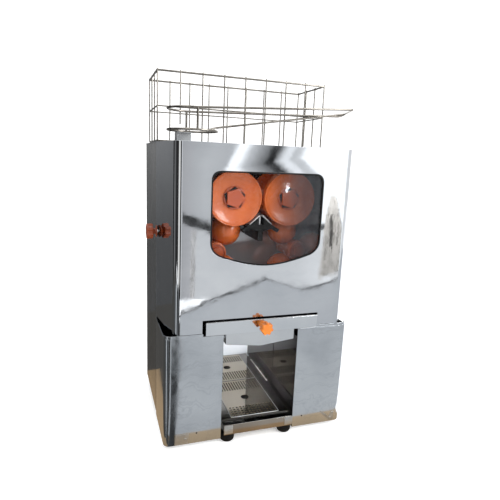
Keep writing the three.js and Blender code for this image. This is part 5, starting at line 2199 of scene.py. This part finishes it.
@dataclass(frozen=True)
class Studio:
    """Plain pale backdrop with soft lights, and the cards that the polished steel mirrors.

    Attributes:
        backdrop: The floor and backdrop.
        lights: The soft lights.
        front: Place of the cards in front of the machine.
        left: Place of the cards at its left, and left edge of those behind and under it.
        back: Place of the cards behind its left side.
        over: How far the smaller cards stand before the large ones behind the machine.
        lifts: Heights of the lower, middle and upper cards on the floor.
        floor_edge: Front edge of the floor that the steel mirrors.
        edge_width: Width of the dark sill along that edge.
        band: Outline of the dark band over the floor.
        drape: Outline of the pale drape at the right.
        fold: Outline of the fold in the drape.
        corner: Point of the floor under the machine's rounded left corner.
        stripe_reach: Length of the stripes that fan out from the corner.
        stripes: First and last direction in degrees and brightness of each stripe.
    """

    backdrop: Backdrop = Backdrop()
    lights: tuple[SoftBox, ...] = (
        SoftBox("key", (1.5, -1.6, 1.5), (0.0, 0.0, 0.5), (1.0, 1.0), 34.0),
        SoftBox("fill", (-1.6, -1.2, 1.6), (0.0, 0.0, 0.5), (1.6, 1.6), 8.0),
        SoftBox("top", (0.2, 0.6, 2.6), (0.0, 0.0, 0.4), (2.0, 2.0), 18.0),
        SoftBox("low", (-0.1, -1.1, 0.1), (0.0, 0.17, 0.14), (0.2, 0.08), 0.3, False, 20.0),
        SoftBox("glint", (1.105, -2.6, 0.40), (0.04, -0.15, 0.55), (0.03, 0.07), 0.45),
    )
    front: float = -2.602
    left: float = -1.6
    back: float = 0.72
    over: float = 0.01
    lifts: Point = (0.0012, 0.0014, 0.0016)
    floor_edge: tuple[Flat, ...] = (
        (-0.9, -0.93), (-0.3, -0.93), (0.024, -1.02), (0.26, -1.2), (0.503, -1.42),
        (0.594, -1.2), (0.82, -1.25), (1.1, -1.3), (2.4, -1.34))
    edge_width: float = 0.035
    band: tuple[Flat, ...] = (
        (0.02, 0.14), (0.24, 0.095), (0.37, 0.07), (0.49, 0.045), (0.8, 0.04), (1.9, 0.08),
        (1.9, 0.12), (0.8, 0.105), (0.49, 0.125), (0.37, 0.145), (0.24, 0.175), (0.02, 0.21))
    drape: tuple[Flat, ...] = (
        (1.58, 0.36), (1.48, 0.14), (1.42, -0.35), (2.05, -0.35), (1.98, -0.02), (1.8, 0.24),
        (1.7, 0.33))
    fold: tuple[Flat, ...] = (
        (1.6, 0.2), (1.58, 0.1), (1.61, -0.1), (1.68, -0.09), (1.67, 0.12))
    corner: Flat = (-0.235, -0.17)
    stripe_reach: float = 1.2
    stripes: tuple[Point, ...] = (
        (172.0, 200.0, 0.12), (200.0, 218.0, 0.75), (218.0, 236.0, 0.02), (236.0, 250.0, 0.2),
        (250.0, 263.0, 0.02))

    def room_cards(self) -> list[MirrorCard]:
        """List the cards of the room in front of the machine.

        Returns:
            The cards.
        """
        front = self.front
        return [
            MirrorCard("card_room", Axis.Y, front, rectangle((0.2, 0.1), (2.6, 1.3)), (
                (0.0, 0.66), (0.08, 0.76), (0.157, 0.7), (0.172, 1.75), (0.2, 1.75),
                (0.235, 0.85), (0.28, 0.5), (0.318, 0.25), (0.334, 0.02), (0.362, 0.02),
                (0.376, 0.5), (0.4, 1.3), (0.425, 1.3), (0.44, 0.8), (0.475, 0.95),
                (0.49, 1.7), (1.0, 1.8)), tint=(0.97, 0.985, 1.0)),
            MirrorCard("card_room_left", Axis.Y, front, rectangle((-0.6, -0.6), (0.2, 1.3)), (
                (0.0, 0.02), (0.18, 0.02), (0.26, 0.95), (0.5, 0.9), (0.62, 0.5),
                (1.0, 0.66)), tint=(0.98, 0.98, 1.0)),
            MirrorCard("card_room_dark", Axis.Y, front,
                       rectangle((self.left, -0.6), (-0.6, 1.3)),
                       ((0.0, 1.1), (0.62, 1.0), (0.78, 0.04), (1.0, 0.02)),
                       tint=(1.0, 0.98, 0.94)),
            MirrorCard("card_far_low", Axis.Y, front - 0.01, rectangle((0.1, -0.7), (2.6, 0.1)),
                       ((0.0, 0.86), (0.45, 0.9), (0.6, 1.2), (1.0, 1.4)),
                       tint=(0.98, 0.99, 1.0)),
            MirrorCard("card_band", Axis.Y, front + 0.015, self.band,
                       ((0.0, 0.05), (0.25, 0.03), (1.0, 0.14))),
            MirrorCard("card_drape", Axis.Y, front + 0.02, self.drape,
                       ((0.0, 0.75), (0.5, 0.9), (0.8, 1.2), (1.0, 1.7)), Axis.Z,
                       (1.0, 0.94, 0.86), 0.8),
            MirrorCard("card_fold", Axis.Y, front + 0.03, self.fold,
                       ((0.0, 0.1), (1.0, 0.14)), Axis.Z, (1.0, 0.93, 0.86)),
            MirrorCard("card_scribble_left", Axis.Y, front + 0.02,
                       rectangle((0.19, -0.62), (0.28, 0.08)), ((0.0, 0.9), (1.0, 0.9)),
                       Axis.X, (1.0, 0.98, 0.96), 0.95),
        ]

    def left_cards(self) -> list[MirrorCard]:
        """List the cards at the left of the machine and behind it.

        Returns:
            The cards.
        """
        left, back, nearer = self.left, self.back, self.back - self.over
        return [
            MirrorCard("card_left_bright", Axis.X, left, rectangle((-2.6, -0.3), (-1.9, 1.4)),
                       ((0.0, 1.1), (0.8, 1.0), (1.0, 0.4)), Axis.Y, (1.0, 0.98, 0.94)),
            MirrorCard("card_left_dark", Axis.X, left, rectangle((-1.9, -0.3), (back, 1.4)),
                       ((0.0, 0.04), (0.55, 0.03), (0.7, 0.1), (1.0, 0.3)), Axis.Y),
            MirrorCard("card_back", Axis.Y, back, rectangle((left, -0.01), (0.2, 1.4)),
                       ((0.0, 0.09), (0.2, 0.1), (0.35, 0.16), (0.5, 0.26), (1.0, 0.3)),
                       Axis.Z, (0.97, 0.98, 1.0)),
            MirrorCard("card_back_dark", Axis.Y, nearer,
                       rectangle((left, -0.01), (-0.86, 1.4)), ((0.0, 0.02), (1.0, 0.03))),
            MirrorCard("card_back_fold", Axis.Y, nearer,
                       rectangle((-0.86, -0.01), (-0.62, 1.4)),
                       ((0.0, 0.24), (0.5, 0.3), (1.0, 0.14))),
            MirrorCard("card_back_line", Axis.Y, nearer,
                       rectangle((-0.522, -0.01), (-0.508, 1.4)), ((0.0, 0.45), (1.0, 0.45))),
        ]

    def corner_stripes(self) -> list[MirrorCard]:
        """List the fan of floor cards that the rounded left corner shows as upright stripes.

        Returns:
            The cards, each between two directions from the corner.
        """
        x, y = self.corner
        made = []
        for index, (first, last, tone) in enumerate(self.stripes):
            ends = [(x + self.stripe_reach * math.cos(turn),
                     y + self.stripe_reach * math.sin(turn))
                    for turn in (math.radians(first), math.radians(last))]
            made.append(MirrorCard(f"card_stripe_{index}", Axis.Z, self.lifts[2],
                                   (self.corner, *ends), ((0.0, tone), (1.0, tone)),
                                   tint=(0.94, 0.97, 1.0)))
        return made

    def floor_cards(self) -> list[MirrorCard]:
        """List the cards on the floor round the machine.

        Returns:
            The cards.
        """
        low, middle, high = self.lifts
        sill = [(x, y - self.edge_width) for x, y in reversed(self.floor_edge)]
        return [
            MirrorCard("card_floor_dark", Axis.Z, low,
                       rectangle((self.left, -0.9), (-0.206, self.back)),
                       ((0.0, 0.1), (1.0, 0.08)), tint=(1.0, 0.96, 0.9)),
            MirrorCard("card_floor_left", Axis.Z, middle,
                       ((-0.206, -0.17), (-0.243, -0.17), (-0.262, 0.22), (-0.206, 0.22)),
                       ((0.0, 0.5), (1.0, 0.34)), Axis.Y, (1.0, 0.72, 0.44)),
            MirrorCard("card_corner_shade", Axis.Z, high,
                       ((-0.207, -0.156), (-0.184, -0.156), (-0.112, -0.77), (-0.15, -0.77)),
                       ((0.0, 0.12), (0.3, 0.04), (0.8, 0.03), (1.0, 0.1)),
                       tint=(0.96, 0.98, 1.0)),
            *self.corner_stripes(),
            MirrorCard("card_table", Axis.Z, low, rectangle((-0.206, -0.206), (0.245, -0.15)),
                       ((0.0, 0.6), (1.0, 0.5)), Axis.Y, (1.0, 0.76, 0.5)),
            MirrorCard("card_table_right", Axis.Z, low,
                       rectangle((0.206, -0.15), (0.245, 0.22)), ((0.0, 0.5), (1.0, 0.5)),
                       Axis.Y, (1.0, 0.76, 0.5)),
            MirrorCard("card_floor_front", Axis.Z, low,
                       ((2.4, -0.206), (-0.222, -0.206), (-0.25, -0.9), *self.floor_edge[1:]),
                       ((0.0, 0.7), (0.6, 0.68), (1.0, 0.62)), Axis.Y, (0.94, 0.97, 1.0)),
            MirrorCard("card_sill", Axis.Z, low, (*self.floor_edge, *sill),
                       ((0.0, 0.08), (1.0, 0.1))),
        ]

    def build(self) -> None:
        """Build the studio."""
        self.backdrop.create()
        cards = (*self.room_cards(), *self.left_cards(), *self.floor_cards())
        for made in (*cards, *self.lights):
            made.create()
        LOG.info("studio with %d cards and %d lights", len(cards), len(self.lights))
        world = bpy.data.worlds.new("studio")
        world.use_nodes = True
        sky = world.node_tree.nodes["Background"]
        sky.inputs["Color"].default_value = (1.0, 1.0, 1.0, 1.0)
        sky.inputs["Strength"].default_value = 1.0
        bpy.context.scene.world = world
        bpy.context.scene.view_settings.view_transform = "Standard"


def main() -> None:
    """Build the machine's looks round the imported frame."""
    logging.basicConfig(level=logging.INFO, format="%(name)s: %(message)s")
    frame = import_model()
    assemblies: tuple[type[Assembly], ...] = (
        Casing, Cover, SideKnobs, Base, DripTray, Bins, Drums, KnifeGroup, JuicePath, Basket,
        FeedGuide, Electrics, Drive)
    for assembly in assemblies:
        assembly(frame).build()
        LOG.info("%s built", assembly.__name__)
    Studio().build()
    CameraPose().create()


if __name__ == "__main__":
    main()
